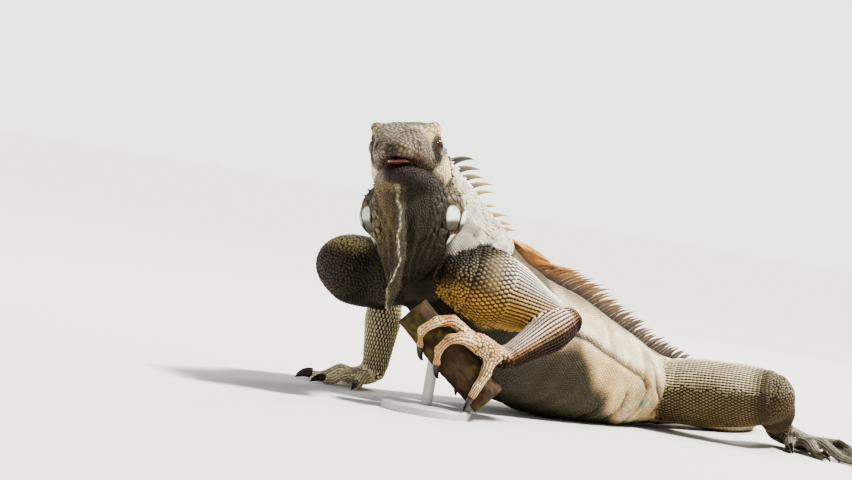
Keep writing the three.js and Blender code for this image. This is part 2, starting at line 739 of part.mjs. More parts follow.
function clawTube(root, ahead, down, length, radius) {
  const rings = [];
  const side = ahead.clone().cross(down).normalize();
  for (let k = 0; k < CLAW_RINGS; k++) {
    const t = k / CLAW_RINGS;
    const centre = root.clone()
      .addScaledVector(ahead, (length * Math.sin(t * CLAW_ARCH)) / Math.sin(CLAW_ARCH))
      .addScaledVector(down, length * CLAW_DROP * t * t);
    const r = radius * (1 - 0.86 * t);
    const along = ahead.clone().multiplyScalar(Math.cos(t * CLAW_BEND))
      .addScaledVector(down, Math.sin(t * CLAW_BEND));
    const across = side.clone().cross(along).normalize();
    const ring = [];
    for (let i = 0; i < CLAW_SIDES; i++) {
      const turn = (2 * Math.PI * i) / CLAW_SIDES;
      ring.push(centre.clone()
        .addScaledVector(side, CLAW_NARROW * r * Math.cos(turn))
        .addScaledVector(across, -r * Math.sin(turn)));
    }
    rings.push(ring);
  }
  const tip = root.clone().addScaledVector(ahead, length).addScaledVector(down, length * CLAW_DROP);
  return loft(rings, root.clone().addScaledVector(ahead, -0.5), tip);
}

// A flat-laid hand or foot: digits fan out from the end of the palm, on the floor. `mirror` is -1 for
// the right side.
function layFoot(ankle, heading, mirror, { palm, palmHalf, radius, digits }) {
  const turnTo = (degrees) => V(Math.sin(radians(degrees)), -Math.cos(radians(degrees)), 0);
  const root = vec(ankle);
  const palmEnd = root.clone().addScaledVector(turnTo(heading), palm).setZ(radius + 1.6);
  const palmStations = [
    { at: root.toArray(), half: [palmHalf * 0.86, PALM_DEPTH[0]] },
    { at: root.clone().lerp(palmEnd, 0.55).toArray(), half: [palmHalf, PALM_DEPTH[1]] },
    { at: palmEnd.toArray(), half: [palmHalf * 0.94, radius + 1] },
  ];
  const made = digits.map(({ angle, length, arch, from }) => {
    const turn = mirror * angle;
    const way = turnTo(heading + turn);
    const start = root.clone().lerp(palmEnd, from - 0.32)
      .addScaledVector(turnTo(heading + 90), palmHalf * 0.7 * Math.sin(radians(turn)));
    const reach = (share, z) => start.clone().addScaledVector(way, length * share).setZ(z);
    const path = [
      start, reach(0.42, radius + arch), reach(0.76, radius * 0.66), reach(1, radius * 0.56),
    ];
    return { path, way };
  });
  const shape = (grow = 0) => join(
    tube(palmStations, { sides: PALM_SIDES, rings: 2 }, grow),
    ...made.map(({ path }) => digitTube(path, radius, grow)),
  );
  const claws = made.map(({ path, way }) => {
    const tip = path[path.length - 1].clone().addScaledVector(way, radius * 0.3).setZ(radius * 0.95);
    return clawTube(tip, way, V(0, 0, -1), CLAW_LENGTH, radius * CLAW_THICK);
  });
  return { shape, claws };
}

// ---------------------------------------------------------------- branch and the hand that grips it

const branchLine = vec(BRANCH_HEAD).sub(vec(BRANCH_FOOT));
const branchLong = branchLine.length();
const branchAlong = branchLine.clone().normalize();
const branchUpper = branchAlong.clone().cross(vec(KNUCKLE_SIDE)).normalize();
const branchNear = branchUpper.clone().cross(branchAlong).normalize();

// A point round the branch: distance up its axis, distance out, angle from its upper side towards the
// side where the knuckles lie.
const roundBranch = (up, out, degrees) => vec(BRANCH_FOOT)
  .addScaledVector(branchAlong, up)
  .addScaledVector(branchUpper, out * Math.cos(radians(degrees)))
  .addScaledVector(branchNear, out * Math.sin(radians(degrees)));

function branchShape(grow = 0) {
  const rings = [];
  for (let k = 0; k <= BRANCH_RINGS; k++) {
    const t = lerp(BRANCH_SPAN[0], BRANCH_SPAN[1], k / BRANCH_RINGS);
    const ring = [];
    for (let i = 0; i < BRANCH_SIDES; i++) {
      const turn = (360 * i) / BRANCH_SIDES;
      // old bark: a slow lumpiness round and along
      const swell = Math.sin(radians(turn * 3) + 5 * t) + Math.sin(radians(turn * 2) - 9 * t);
      const lump = BARK_LUMP * swell;
      ring.push(roundBranch(t * branchLong, BRANCH_RADIUS - 2 * BARK_LUMP + lump + grow, -turn));
    }
    rings.push(ring);
  }
  rings[0].forEach((p) => p.addScaledVector(branchAlong, -grow));
  rings[BRANCH_RINGS].forEach((p) => p.addScaledVector(branchAlong, grow));
  return loft(rings, centroid(rings[0]), centroid(rings[BRANCH_RINGS]));
}

const gripWrist = roundBranch(...GRIP_WRIST_AT);
const gripOut = BRANCH_RADIUS + GRIP_RADIUS * 0.85;

function gripHand() {
  const palmStations = GRIP_PALM.map(({ at, half }) => ({ at: roundBranch(...at).toArray(), half }));
  const palmOptions = { sides: PALM_SIDES, rings: 2, up: branchUpper };
  const paths = GRIP_DIGITS.map((stations) => stations.map(
    ([up, turn], i) => roundBranch(up, gripOut + (i === 0 ? 1 : 0), turn),
  ));
  const shape = (grow = 0) => join(
    tube(palmStations, palmOptions, grow), ...paths.map((path) => digitTube(path, GRIP_RADIUS, grow)),
  );
  const claws = paths.map((path) => {
    const tip = path[path.length - 1];
    const way = tip.clone().sub(path[path.length - 2]).normalize();
    const inward = vec(BRANCH_FOOT).addScaledVector(
      branchAlong, tip.clone().sub(vec(BRANCH_FOOT)).dot(branchAlong),
    ).sub(tip).normalize();
    const root = tip.clone().addScaledVector(way, GRIP_RADIUS * 0.35).addScaledVector(inward, -0.6);
    const down = inward.addScaledVector(way, -inward.dot(way)).normalize();
    return clawTube(root, way, down, CLAW_LENGTH, GRIP_RADIUS * CLAW_THICK);
  });
  return { shape, claws };
}

// ---------------------------------------------------------------- crest

// A crest: a low keel of skin that follows a line over the back and rises into a row of flat spines that
// lean backwards. `line(t)` gives the crown of the back and its axes, and `fill` is the part of the row
// that the feet of the spines take.
function crestOn(line, { span, count, tall, ease, keel, fill }) {
  const ringAt = (share, rise, half) => {
    const { crown, up, side, back } = line(lerp(...span, share));
    const foot = crown.clone().addScaledVector(up, -CREST_SINK);
    const top = crown.clone().addScaledVector(up, lerp(...keel, share) + rise)
      .addScaledVector(back, SPINE_LEAN * rise);
    return [
      foot.clone().addScaledVector(side, CREST_HALF), foot.clone().addScaledVector(side, -CREST_HALF),
      top.clone().addScaledVector(side, -half), top.clone().addScaledVector(side, half),
    ];
  };
  const keelRing = (share) => ringAt(share, 0, CREST_HALF * KEEL_TOP);
  const rings = [];
  for (let k = 0; k < count; k++) {
    const at = (part) => (k + part) / count;
    rings.push(keelRing(at(0)));
    rings.push(ringAt(at(SPINE_PEAK * fill), lerp(...tall, at(0.5) ** ease), SPINE_HALF));
    if (fill < 1) rings.push(keelRing(at(fill)));
  }
  rings.push(keelRing(1));
  return loft(rings, centroid(rings[0]), centroid(rings[rings.length - 1]));
}

function bodyCrown(t) {
  const { centre, along, side, top } = bodyFrame(t);
  const crown = centre.addScaledVector(top, bodySize(t)[1]);
  return { crown, up: top, side, back: along.clone().negate() };
}

function tailCrown(s) {
  const { centre, along, side } = tailFrame(s);
  const crown = centre.addScaledVector(UP, tailSize(s)[1] * 0.96);
  return { crown, up: UP.clone(), side, back: along };
}

// ---------------------------------------------------------------- assembly: body

const sides = { l: 1, r: -1 };
const eyeBall = (side, grow = 0) => headBall(
  { at: EYE.at, half: [EYE.radius, EYE.radius, EYE.radius] }, side, grow, 10, 6,
);
const headClear = headShape(GAP);
const jawClear = jawShape(GAP);
const shieldsClear = Object.values(sides).map((side) => shieldShape(side, GAP));
const trunkClear = trunkShape(GAP);
const neckClear = neckShape(GAP);

addNode("trunk", cutClear(trunkShape(0), FLOOR), "skin");
addNode("neck", cutClear(neckShape(0), headClear, jawClear, ...shieldsClear), "skin");
for (let i = 0; i < TAIL_RINGS.length; i++) {
  addNode("tail_" + (i + 1), cutClear(tailLength(i), trunkClear, FLOOR), "skin");
}

// ---------------------------------------------------------------- assembly: head

const hollows = Object.values(sides).flatMap((side) => [
  headBall(EYE_SOCKET, side, 0, 10),
  eyeBall(side, GAP),
  headBall(NOSTRIL, side, 0, 6, 4),
  headBall(EAR, side, GAP, 10, 4),
]);
addNode("head", cutClear(headShape(), ...hollows), "skin");
addNode("lower_jaw", cutClear(jawShape(), headClear), "skin");
const tongueShape = ellipsoid(headPoint(...TONGUE.at), TONGUE.half, headAxes, 10, 4);
addNode("tongue", cutClear(tongueShape, headClear, jawClear), "tongue");
for (const [name, side] of Object.entries(sides)) {
  addNode("eye_" + name, eyeBall(side), "eye");
  addNode("ear_" + name, headBall(EAR, side, 0, 10, 4), "ear");
  addNode("shield_" + name, cutClear(shieldShape(side), headClear), "shield");
}
const headParts = [headClear, jawClear, neckClear, trunkClear];
const throatBag = cutClear(throatShape(), ...headParts, neckShape(2 * GAP), ...shieldsClear);
addNode("throat", throatBag, "throat");
addNode("dewlap", cutClear(dewlapShape(), ...headParts, throatShape(GAP)), "throat");

// ---------------------------------------------------------------- assembly: arms

const armLeft = (grow = 0) => upperArm(
  UPPER_ARM_LEFT, SHOULDER_LEFT, ELBOW_LEFT, PAD_LEFT, grow,
);
const armRight = (grow = 0) => upperArm(
  UPPER_ARM_RIGHT, SHOULDER_RIGHT, ELBOW_RIGHT, PAD_RIGHT, grow,
);
const foreLeft = (grow = 0) => foreArm(ELBOW_LEFT, gripWrist.toArray(), UP, grow);
const foreRight = (grow = 0) => foreArm(ELBOW_RIGHT, WRIST_RIGHT, V(0, 1, 0), grow);
const bodyClear = [trunkClear, neckClear, throatShape(GAP), headClear];
const branchClear = branchShape(GAP);
const grip = gripHand();

const laidHand = layFoot(WRIST_RIGHT, HAND_LAID.heading, 1, HAND_LAID);

addNode("upper_arm_l", cutClear(armLeft(), ...bodyClear), "arm");
addNode("upper_arm_r", cutClear(armRight(), ...bodyClear), "arm");
addNode("forearm_l", cutClear(foreLeft(), armLeft(GAP), trunkClear), "arm");
addNode("forearm_r", cutClear(foreRight(), armRight(GAP), trunkClear, FLOOR), "arm");
addNode("hand_l", cutClear(grip.shape(), foreLeft(GAP), branchClear), "arm");
addNode("hand_r", cutClear(laidHand.shape(), foreRight(GAP), FLOOR), "arm");

// ---------------------------------------------------------------- assembly: legs

const legs = {
  l: { hip: HIP_LEFT, knee: KNEE_LEFT, ankle: ANKLE_LEFT },
  r: { hip: HIP_RIGHT, knee: KNEE_RIGHT, ankle: ANKLE_RIGHT },
};
const footParts = {};
for (const [name, leg] of Object.entries(legs)) {
  const thigh = (grow = 0) => thighShape(leg.hip, leg.knee, grow);
  const shank = (grow = 0) => shankShape(leg.knee, leg.ankle, grow);
  const foot = layFoot(leg.ankle, FOOT_HEADING[name], sides[name], FOOT);
  footParts[name] = foot;
  addNode("thigh_" + name, cutClear(thigh(), trunkClear, tailLength(0, GAP), FLOOR), "skin");
  addNode("shank_" + name, cutClear(shank(), thigh(GAP), trunkClear, FLOOR), "skin");
  addNode("foot_" + name, cutClear(foot.shape(), shank(GAP), thigh(GAP), FLOOR), "skin");
}

// ---------------------------------------------------------------- assembly: claws, branch, stand, crest

const limbs = {
  hand_l: { parts: grip, clear: [branchClear] },
  hand_r: { parts: laidHand, clear: [FLOOR] },
  foot_l: { parts: footParts.l, clear: [FLOOR] },
  foot_r: { parts: footParts.r, clear: [FLOOR] },
};
for (const [name, { parts, clear }] of Object.entries(limbs)) {
  const digitsClear = parts.shape(GAP);
  parts.claws.forEach((claw, i) => {
    addNode(`claw_${name}_${i + 1}`, cutClear(claw, digitsClear, ...clear), "claw");
  });
}

// A round bar or disc on the upright line below the middle of the branch: stations [height, radius].
const standAt = roundBranch(STAND_PLACE * branchLong, 0, 0);
function turned(stations, count) {
  const rings = stations.map(([z, radius]) => Array.from({ length: count }, (_, i) => {
    const turn = (2 * Math.PI * i) / count;
    return V(standAt.x + radius * Math.cos(turn), standAt.y + radius * Math.sin(turn), z);
  }));
  return loft(rings, centroid(rings[0]), centroid(rings[rings.length - 1]));
}
const rod = turned([[STAND_THICK + GAP, ROD_RADIUS], [ROD_TOP, ROD_RADIUS]], ROD_SIDES);
const discEdge = [
  [0, STAND_RADIUS],
  [STAND_THICK - STAND_BEVEL, STAND_RADIUS],
  [STAND_THICK, STAND_RADIUS - STAND_BEVEL],
];
const disc = turned(discEdge, STAND_SIDES);
addNode("perch_branch", branchShape(), "bark");
addNode("stand_rod", cutClear(rod, branchClear), "stand");
addNode("stand_base", disc, "stand");

const backCrest = crestOn(bodyCrown, BACK_CREST);
const napeCrest = crestOn(bodyCrown, NAPE_CREST);
const tailCrest = crestOn(tailCrown, TAIL_CREST);
const tailsClear = TAIL_RINGS.map((_, i) => tailLength(i, GAP));
addNode("crest_back", cutClear(backCrest, trunkClear, neckClear), "crest");
addNode("crest_neck", cutClear(napeCrest, trunkClear, neckClear, headClear), "crest");
addNode("crest_tail", cutClear(tailCrest, trunkClear, ...tailsClear), "crest");

// ---------------------------------------------------------------- frame: middle of the outline, on z = 0

const bounds = new THREE.Box3().setFromObject(group);
const middle = bounds.getCenter(V(0, 0, 0));
group.position.set(-middle.x, -middle.y, -bounds.min.z);

export default group;
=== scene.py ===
import math

import bpy
import numpy as np
from mathutils import Matrix, Vector
from mathutils.bvhtree import BVHTree
from mathutils.kdtree import KDTree


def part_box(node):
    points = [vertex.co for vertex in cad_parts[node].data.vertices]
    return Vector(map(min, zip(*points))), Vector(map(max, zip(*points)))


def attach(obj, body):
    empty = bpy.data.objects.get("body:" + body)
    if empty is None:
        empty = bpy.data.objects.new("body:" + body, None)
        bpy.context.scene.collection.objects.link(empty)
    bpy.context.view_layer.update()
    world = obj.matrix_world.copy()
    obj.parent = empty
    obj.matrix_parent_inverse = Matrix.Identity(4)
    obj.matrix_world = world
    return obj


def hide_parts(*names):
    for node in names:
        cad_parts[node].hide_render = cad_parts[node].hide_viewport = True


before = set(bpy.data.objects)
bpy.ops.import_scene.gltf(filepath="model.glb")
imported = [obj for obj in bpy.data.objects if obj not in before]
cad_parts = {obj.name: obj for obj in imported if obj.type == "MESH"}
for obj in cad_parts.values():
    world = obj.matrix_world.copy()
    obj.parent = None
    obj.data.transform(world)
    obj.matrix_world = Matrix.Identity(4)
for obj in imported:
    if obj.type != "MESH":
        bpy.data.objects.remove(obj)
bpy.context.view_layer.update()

MM = 0.001
rng = np.random.default_rng(7)

# ------------------------------------------------------------------ names of the CAD nodes

SIDES = {"l": 1, "r": -1}
LIMB_PARTS = ("upper_arm", "forearm", "hand", "thigh", "shank", "foot")
FLESH = (
    ["trunk", "neck", "head", "lower_jaw", "throat", "dewlap"]
    + [f"tail_{i}" for i in range(1, 6)]
    + [f"{part}_{s}" for part in LIMB_PARTS for s in SIDES]
)
LABEL = {name: i for i, name in enumerate(FLESH)}

# ------------------------------------------------------------------ body frame, in mm
# The body frame is the one the animal is laid out in: the pelvis is at x = 0. It is found from the
# stand's foot, whose place in it is known.

STAND_AT = (41.756, -146.96)
low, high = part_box("stand_base")
ORIGIN = np.array([
    (low.x + high.x) / 2 / MM - STAND_AT[0],
    (low.y + high.y) / 2 / MM - STAND_AT[1],
    0.0,
])


def to_body(points_m):
    """Row-frame metres to body-frame millimetres."""
    return np.asarray(points_m) / MM - ORIGIN


def to_row(points_mm):
    """Body-frame millimetres to row-frame metres."""
    return (np.asarray(points_mm) + ORIGIN) * MM


# The middle line of the body, from the pelvis to the skull.
BODY = np.array([
    [0, 176, 27], [0, 130, 30], [0, 75, 37], [0, 18, 48], [-1, -38, 63],
    [-5, -84, 93], [-11, -114, 130], [-10, -142, 158], [-1, -160, 164],
], float)
BODY_LENGTH = 382  # along that line

# The head's own frame: forward to the snout, to its left, and up.
HEAD_ORIGIN = np.array([-15.5, -146.2, 193.3])
TURN, ROLL = math.radians(39), math.radians(9.6)
FORWARD = np.array([math.sin(TURN), -math.cos(TURN), 0])
LEVEL = np.array([math.cos(TURN), math.sin(TURN), 0])
LEFT = LEVEL * math.cos(ROLL) + np.array([0, 0, 1.0]) * math.sin(ROLL)
HEAD_UP = np.cross(FORWARD, LEFT)
HEAD_AXES = np.stack([FORWARD, LEFT, HEAD_UP])

EYE_AT, EYE_RADIUS = np.array([52, 18.4, -12.8]), 8.2
EAR_AT = np.array([15, 26, -23])
NOSTRIL_AT = np.array([92, 13.8, -12])
SHIELD_AT, SHIELD_TURN = np.array([26.5, 34.6, -65.5]), math.radians(35)
# The shield's domes: centre forward and up in its plane, half sizes, height, share of green.
SHIELD_DOMES = [
    (6.6, 4.0, 7.8, 9.6, 1.2, 0.2),
    (-9.4, 1.6, 8.4, 8.6, 1.3, 0.1),
    (-0.6, -12.0, 8.6, 6.2, 1.2, 0.45),
]
# The dewlap's front edge: forward and up in the head's frame.
DEWLAP_FRONT = [(91, -42), (91, -52), (90, -72), (86, -92), (80, -110), (71, -123), (62, -127.5)]

# Shoulder and elbow of each arm.
ARM = {
    "l": ([24, -104, 95], [73, -45, 81]),
    "r": ([-60, -149, 90], [-77, -90, 78]),
}
WRIST_R = [-76, -90, 13]
# Hip, knee and ankle of each leg, and the way its foot points, in degrees.
LEG = {
    "l": ([20, 128, 31], [100, 166, 41], [68, 220, 12], 84),
    "r": ([-20, 128, 33], [-97, 133, 30], [-92, 192, 12], -62),
}
BRANCH_FOOT = np.array([90.5, -98, -7.7])
BRANCH_HEAD = np.array([22.8, -166, 76])
BRANCH_SPAN = (0.28, 0.93)  # the shares of the line between which the branch is cut
KNUCKLE_SIDE = np.array([0.72, -0.69, 0.02])
BRANCH_RADIUS = 14.5
GRIP_RADIUS = 5.2
GRIP_WRIST = (50, 27, 4)  # up the branch, out from its middle, and degrees round it
# Each gripping digit: its points up the branch and in degrees round it.
GRIP_DIGITS = [
    [[56, 28], [52, 56], [49, 86], [46, 112]],
    [[66, 22], [80, 36], [87, 68], [86, 102], [79, 126]],
    [[74, 8], [95, 26], [102, 66], [104, 104], [96, 130]],
    [[74, -14], [90, -30], [98, -66], [94, -100], [86, -124]],
    [[62, -22], [68, -52], [66, -84], [60, -110]],
]
# Hands and feet laid flat. Each digit: its angle, length, arch, and the share of the palm it starts at.
HAND_SPEC = dict(
    palm=17, half=11, radius=5.0,
    digits=[(84, 24, 2, 0.75), (40, 30, 4, 1), (12, 35, 7, 1), (-12, 37, 7, 1), (-46, 27, 3, 0.8)],
)
FOOT_SPEC = dict(
    palm=36, half=12.5, radius=5.2,
    digits=[(-38, 30, 2, 0.75), (-20, 48, 4, 1), (-5, 66, 6, 1), (12, 80, 7, 1), (46, 52, 4, 0.7)],
)
TAIL_LENGTH, TAIL_ROOT_HALF, TAIL_TIP_HALF = 1000, 25.5, 1.9


def unit(v):
    v = np.asarray(v, float)
    return v / np.maximum(np.linalg.norm(v, axis=-1, keepdims=True), 1e-9)


def smooth(a, b, x):
    """A soft step from 0 at a to 1 at b."""
    t = np.clip((np.asarray(x, float) - a) / (b - a), 0, 1)
    return t * t * (3 - 2 * t)


def bump(x, centre, width):
    """A soft hump of height 1."""
    return np.exp(-(((np.asarray(x, float) - centre) / width) ** 2))


def hang(u):
    """How far what hangs under the leaning head swings to its right, at a height of the head frame."""
    return -13 * smooth(82, 130, -np.asarray(u, float))


def dewlap_front(u):
    """Forward place of the dewlap's front edge."""
    return np.interp(-np.asarray(u, float), [-q[1] for q in DEWLAP_FRONT], [q[0] for q in DEWLAP_FRONT])


def sway(f, u):
    """Sideways crinkle of the dewlap's free edge, in mm."""
    return (1.1 * np.sin(0.19 * u + 0.6) + 0.6 * np.sin(0.53 * u)) * smooth(16, 1, dewlap_front(u) - f)


def head_point(f, l, u):
    return HEAD_ORIGIN + np.asarray([f, l, u]) @ HEAD_AXES


def head_coords(p):
    return (p - HEAD_ORIGIN) @ HEAD_AXES.T


def spline(points, count):
    """A smooth curve through the points, sampled evenly by arc length."""
    p = np.asarray(points, float)
    ext = np.vstack([2 * p[0] - p[1], p, 2 * p[-1] - p[-2]])
    out = []
    for k in range(len(p) - 1):
        a, b, c, d = ext[k:k + 4]
        t = np.linspace(0, 1, 24, endpoint=False)[:, None]
        square, cube = 2 * a - 5 * b + 4 * c - d, 3 * b - a - 3 * c + d
        out.append(0.5 * (2 * b + (c - a) * t + square * t**2 + cube * t**3))
    line = np.vstack(out + [p[-1:]])
    s = np.concatenate([[0], np.cumsum(np.linalg.norm(np.diff(line, axis=0), axis=1))])
    at = np.linspace(0, s[-1], count)
    return np.stack([np.interp(at, s, line[:, i]) for i in range(3)], 1)


branch_along = unit(BRANCH_HEAD - BRANCH_FOOT)
branch_upper = unit(np.cross(branch_along, KNUCKLE_SIDE))
branch_near = unit(np.cross(branch_upper, branch_along))


def round_branch(up, out, degrees):
    """A point up the branch, out from its middle line and round it."""
    a = math.radians(degrees)
    return BRANCH_FOOT + branch_along * up + out * (branch_upper * math.cos(a) + branch_near * math.sin(a))


def grip_paths():
    """The middle lines of the digits that hold the branch."""
    reach = BRANCH_RADIUS + GRIP_RADIUS * 0.85
    return [np.array([round_branch(up, reach, turn) for up, turn in d]) for d in GRIP_DIGITS]


def laid_paths(ankle, heading, mirror, spec):
    """The middle lines of the digits of a hand or foot that lies flat."""
    def turn_to(degrees):
        a = math.radians(degrees)
        return np.array([math.sin(a), -math.cos(a), 0.0])

    root = np.array(ankle, float)
    r = spec["radius"]
    end = root + turn_to(heading) * spec["palm"]
    end[2] = r + 1.6
    paths = []
    for angle, length, arch, start_at in spec["digits"]:
        way = turn_to(heading + mirror * angle)
        start = root + (end - root) * (start_at - 0.32)
        start = start + turn_to(heading + 90) * spec["half"] * 0.7 * math.sin(math.radians(mirror * angle))
        path = [start]
        for share, z in ((0.42, r + arch), (0.76, r * 0.66), (1, r * 0.56)):
            p = start + way * length * share
            p[2] = z
            path.append(p)
        paths.append(np.array(path))
    return paths


def tail_line():
    """The tail's plan: a turn to the right, then a slow sway."""
    steps = 200
    p = [np.array([0.0, 167.0])]
    for k in range(steps):
        s = (k + 0.5) / steps
        heading = 0.83 * smooth(0, 0.22, s) + math.sin(2 * math.pi * 1.6 * s) * 0.2 * s
        p.append(p[-1] + np.array([-math.sin(heading), math.cos(heading)]) * TAIL_LENGTH / steps)
    p = np.array(p)
    s = np.linspace(0, 1, steps + 1)
    half = TAIL_TIP_HALF + (TAIL_ROOT_HALF - TAIL_TIP_HALF) * (1 - s) ** 1.25
    under = half * math.cos(math.pi / 8)
    z = 27 + (under - 0.7 - 27) * smooth(0, 0.08, s)
    return spline(np.column_stack([p, z])[::5], 260)


PATHS = {
    "hand_l": grip_paths(),
    "hand_r": laid_paths(WRIST_R, -48, 1, HAND_SPEC),
    "foot_l": laid_paths(LEG["l"][2], LEG["l"][3], 1, FOOT_SPEC),
    "foot_r": laid_paths(LEG["r"][2], LEG["r"][3], -1, FOOT_SPEC),
}
WRIST = {"l": round_branch(*GRIP_WRIST), "r": np.array(WRIST_R, float)}

# ------------------------------------------------------------------ skin: one surface over all the flesh

VOXEL = 1.5 * MM
GROWN = 0.32 * MM  # how far each flesh solid is swollen, so that neighbours close up
EYE_HOLE, EAR_DEPTH, EAR_HALF = EYE_RADIUS - 0.7, 1.9, np.array([5.4, 1.4, 7.2])
LID_REACH, LID_HALF, LID_TOP, LID_BOTTOM = 9.2, 8.7, 7.1, 6.9
# How many rounds of smoothing each part of the skin takes.
SMOOTH_ROUNDS = {
    "trunk": 80, "neck": 50, "tail": 50, "upper_arm": 44, "thigh": 44, "forearm": 24, "shank": 24,
    "throat": 18, "dewlap": 5, "head": 10, "lower_jaw": 9, "hand": 6, "foot": 6,
}
MOST_ROUNDS = max(SMOOTH_ROUNDS.values())


def node_arrays(name):
    """A CAD node's vertices and triangles."""
    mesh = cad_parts[name].data
    v = np.empty(len(mesh.vertices) * 3)
    mesh.vertices.foreach_get("co", v)
    mesh.calc_loop_triangles()
    f = np.empty(len(mesh.loop_triangles) * 3, int)
    mesh.loop_triangles.foreach_get("vertices", f)
    return v.reshape(-1, 3), f.reshape(-1, 3)


def mesh_object(name, verts, faces):
    mesh = bpy.data.meshes.new(name)
    verts = np.asarray(verts, float)
    faces = np.asarray(faces, int)
    mesh.vertices.add(len(verts))
    mesh.vertices.foreach_set("co", verts.ravel())
    size = faces.shape[1]
    mesh.loops.add(len(faces) * size)
    mesh.loops.foreach_set("vertex_index", faces.ravel())
    mesh.polygons.add(len(faces))
    mesh.polygons.foreach_set("loop_start", np.arange(len(faces)) * size)
    mesh.polygons.foreach_set("loop_total", np.full(len(faces), size))
    mesh.update(calc_edges=True)
    mesh.validate()
    obj = bpy.data.objects.new(name, mesh)
    bpy.context.scene.collection.objects.link(obj)
    return obj


def grown(verts, faces, amount):
    """The same mesh, pushed out along its vertex normals."""
    n = np.cross(verts[faces[:, 1]] - verts[faces[:, 0]], verts[faces[:, 2]] - verts[faces[:, 0]])
    normals = np.zeros_like(verts)
    for i in range(3):
        np.add.at(normals, faces[:, i], unit(n))
    return verts + unit(normals) * amount


def tube_faces(rings, sides, turned=False, ends=True):
    """Triangles between rings of points, with a fan to one more point at each end if `ends` is set."""
    f = []
    for k in range(rings - 1):
        for i in range(sides):
            p, q = k * sides + i, k * sides + (i + 1) % sides
            if turned:
                f += [[p, p + sides, q + sides], [p, q + sides, q]]
            else:
                f += [[p, q, q + sides], [p, q + sides, p + sides]]
    if ends:
        first, last, far = rings * sides, rings * sides + 1, (rings - 1) * sides
        for i in range(sides):
            a, b = (i, (i + 1) % sides) if turned else ((i + 1) % sides, i)
            f += [[first, a, b], [last, far + b, far + a]]
    return f


def ball_arrays(centre_mm, half_mm, axes, rings=10, sides=16):
    """An ellipsoid in body-frame mm, as row-frame arrays."""
    v = []
    for k in range(rings + 1):
        polar = math.pi * k / rings - math.pi / 2
        for i in range(sides):
            a = 2 * math.pi * i / sides
            q = np.array([math.cos(polar) * math.cos(a), math.cos(polar) * math.sin(a), math.sin(polar)])
            v.append(centre_mm + (q * half_mm) @ axes)
    return to_row(np.array(v)), np.array(tube_faces(rings + 1, sides, ends=False))


def rope_arrays(line_mm, radii_mm, sides=10, flat=1.0, up=(0, 0, 1)):
    """A closed tube of changing radius along a line, in body-frame mm, as row-frame arrays."""
    line = np.asarray(line_mm, float)
    radii = np.broadcast_to(np.asarray(radii_mm, float), (len(line),))
    along = unit(np.gradient(line, axis=0))
    side = unit(np.cross(np.asarray(up, float), along))
    top = np.cross(along, side)
    a = np.linspace(0, 2 * math.pi, sides, endpoint=False)
    round_line = np.cos(a)[None, :, None] * side[:, None] + flat * np.sin(a)[None, :, None] * top[:, None]
    ring = line[:, None] + radii[:, None, None] * round_line
    caps = [line[:1] - along[:1] * radii[0] * 0.7, line[-1:] + along[-1:] * radii[-1] * 0.7]
    return to_row(np.vstack([ring.reshape(-1, 3)] + caps)), np.array(tube_faces(len(line), sides))


def lid_arrays(side):
    """The two eyelids of one side: an upper and a lower arc over the eyeball."""
    made = []
    for half_u in (LID_TOP, -LID_BOTTOM):
        a = np.linspace(0, math.pi, 15)
        f = LID_HALF * np.cos(a)
        u = half_u * np.sin(a) ** 0.8 + 0.1 * f
        out = np.sqrt(np.maximum(LID_REACH**2 - f**2 - u**2, 3.0))
        line = np.array([
            head_point(EYE_AT[0] + x, side * (EYE_AT[1] + y), EYE_AT[2] + z) for x, y, z in zip(f, out, u)
        ])
        made.append(rope_arrays(line, 1.0 + 0.4 * np.sin(a), up=LEFT * side))
    return made


def swollen_node(name):
    v, f = node_arrays(name)
    return grown(v, f, GROWN), f


def build_skin():
    """One remeshed surface over all the flesh, the lids, and the beds of the eyes and ears."""
    verts, faces, count = [], [], 0
    pieces = [swollen_node(name) for name in FLESH]
    for side in SIDES.values():
        at = head_point(EYE_AT[0], side * EYE_AT[1], EYE_AT[2])
        pieces.append(ball_arrays(at, np.full(3, EYE_HOLE), HEAD_AXES))
        pieces += lid_arrays(side)
        at = head_point(EAR_AT[0], side * (EAR_AT[1] - EAR_DEPTH), EAR_AT[2])
        pieces.append(ball_arrays(at, EAR_HALF, HEAD_AXES))
    for v, f in pieces:
        verts.append(v)
        faces.append(f + count)
        count += len(v)
    rough = mesh_object("skin", np.vstack(verts), np.vstack(faces))
    remesh = rough.modifiers.new("one_surface", "REMESH")
    remesh.mode = "VOXEL"
    remesh.voxel_size = VOXEL
    remesh.adaptivity = 0
    done = rough.evaluated_get(bpy.context.evaluated_depsgraph_get())
    mesh = bpy.data.meshes.new_from_object(done)
    bpy.data.objects.remove(rough)
    v = np.empty(len(mesh.vertices) * 3)
    mesh.vertices.foreach_get("co", v)
    e = np.empty(len(mesh.edges) * 2, int)
    mesh.edges.foreach_get("vertices", e)
    return mesh, v.reshape(-1, 3), e.reshape(-1, 2)


def biggest_body(mesh, v, e):
    """Keeps the outer surface only: the largest connected set of vertices."""
    group = np.arange(len(v))
    while True:
        least = group.copy()
        np.minimum.at(least, e[:, 0], group[e[:, 1]])
        np.minimum.at(least, e[:, 1], group[e[:, 0]])
        least = least[least]
        if (least == group).all():
            break
        group = least
    keep = group == np.bincount(group).argmax()
    quads = np.empty(len(mesh.loops), int)
    mesh.loops.foreach_get("vertex_index", quads)
    quads = quads.reshape(-1, 4)
    new = np.cumsum(keep) - 1
    return v[keep], new[quads[keep[quads[:, 0]]]], new[e[keep[e[:, 0]]]]


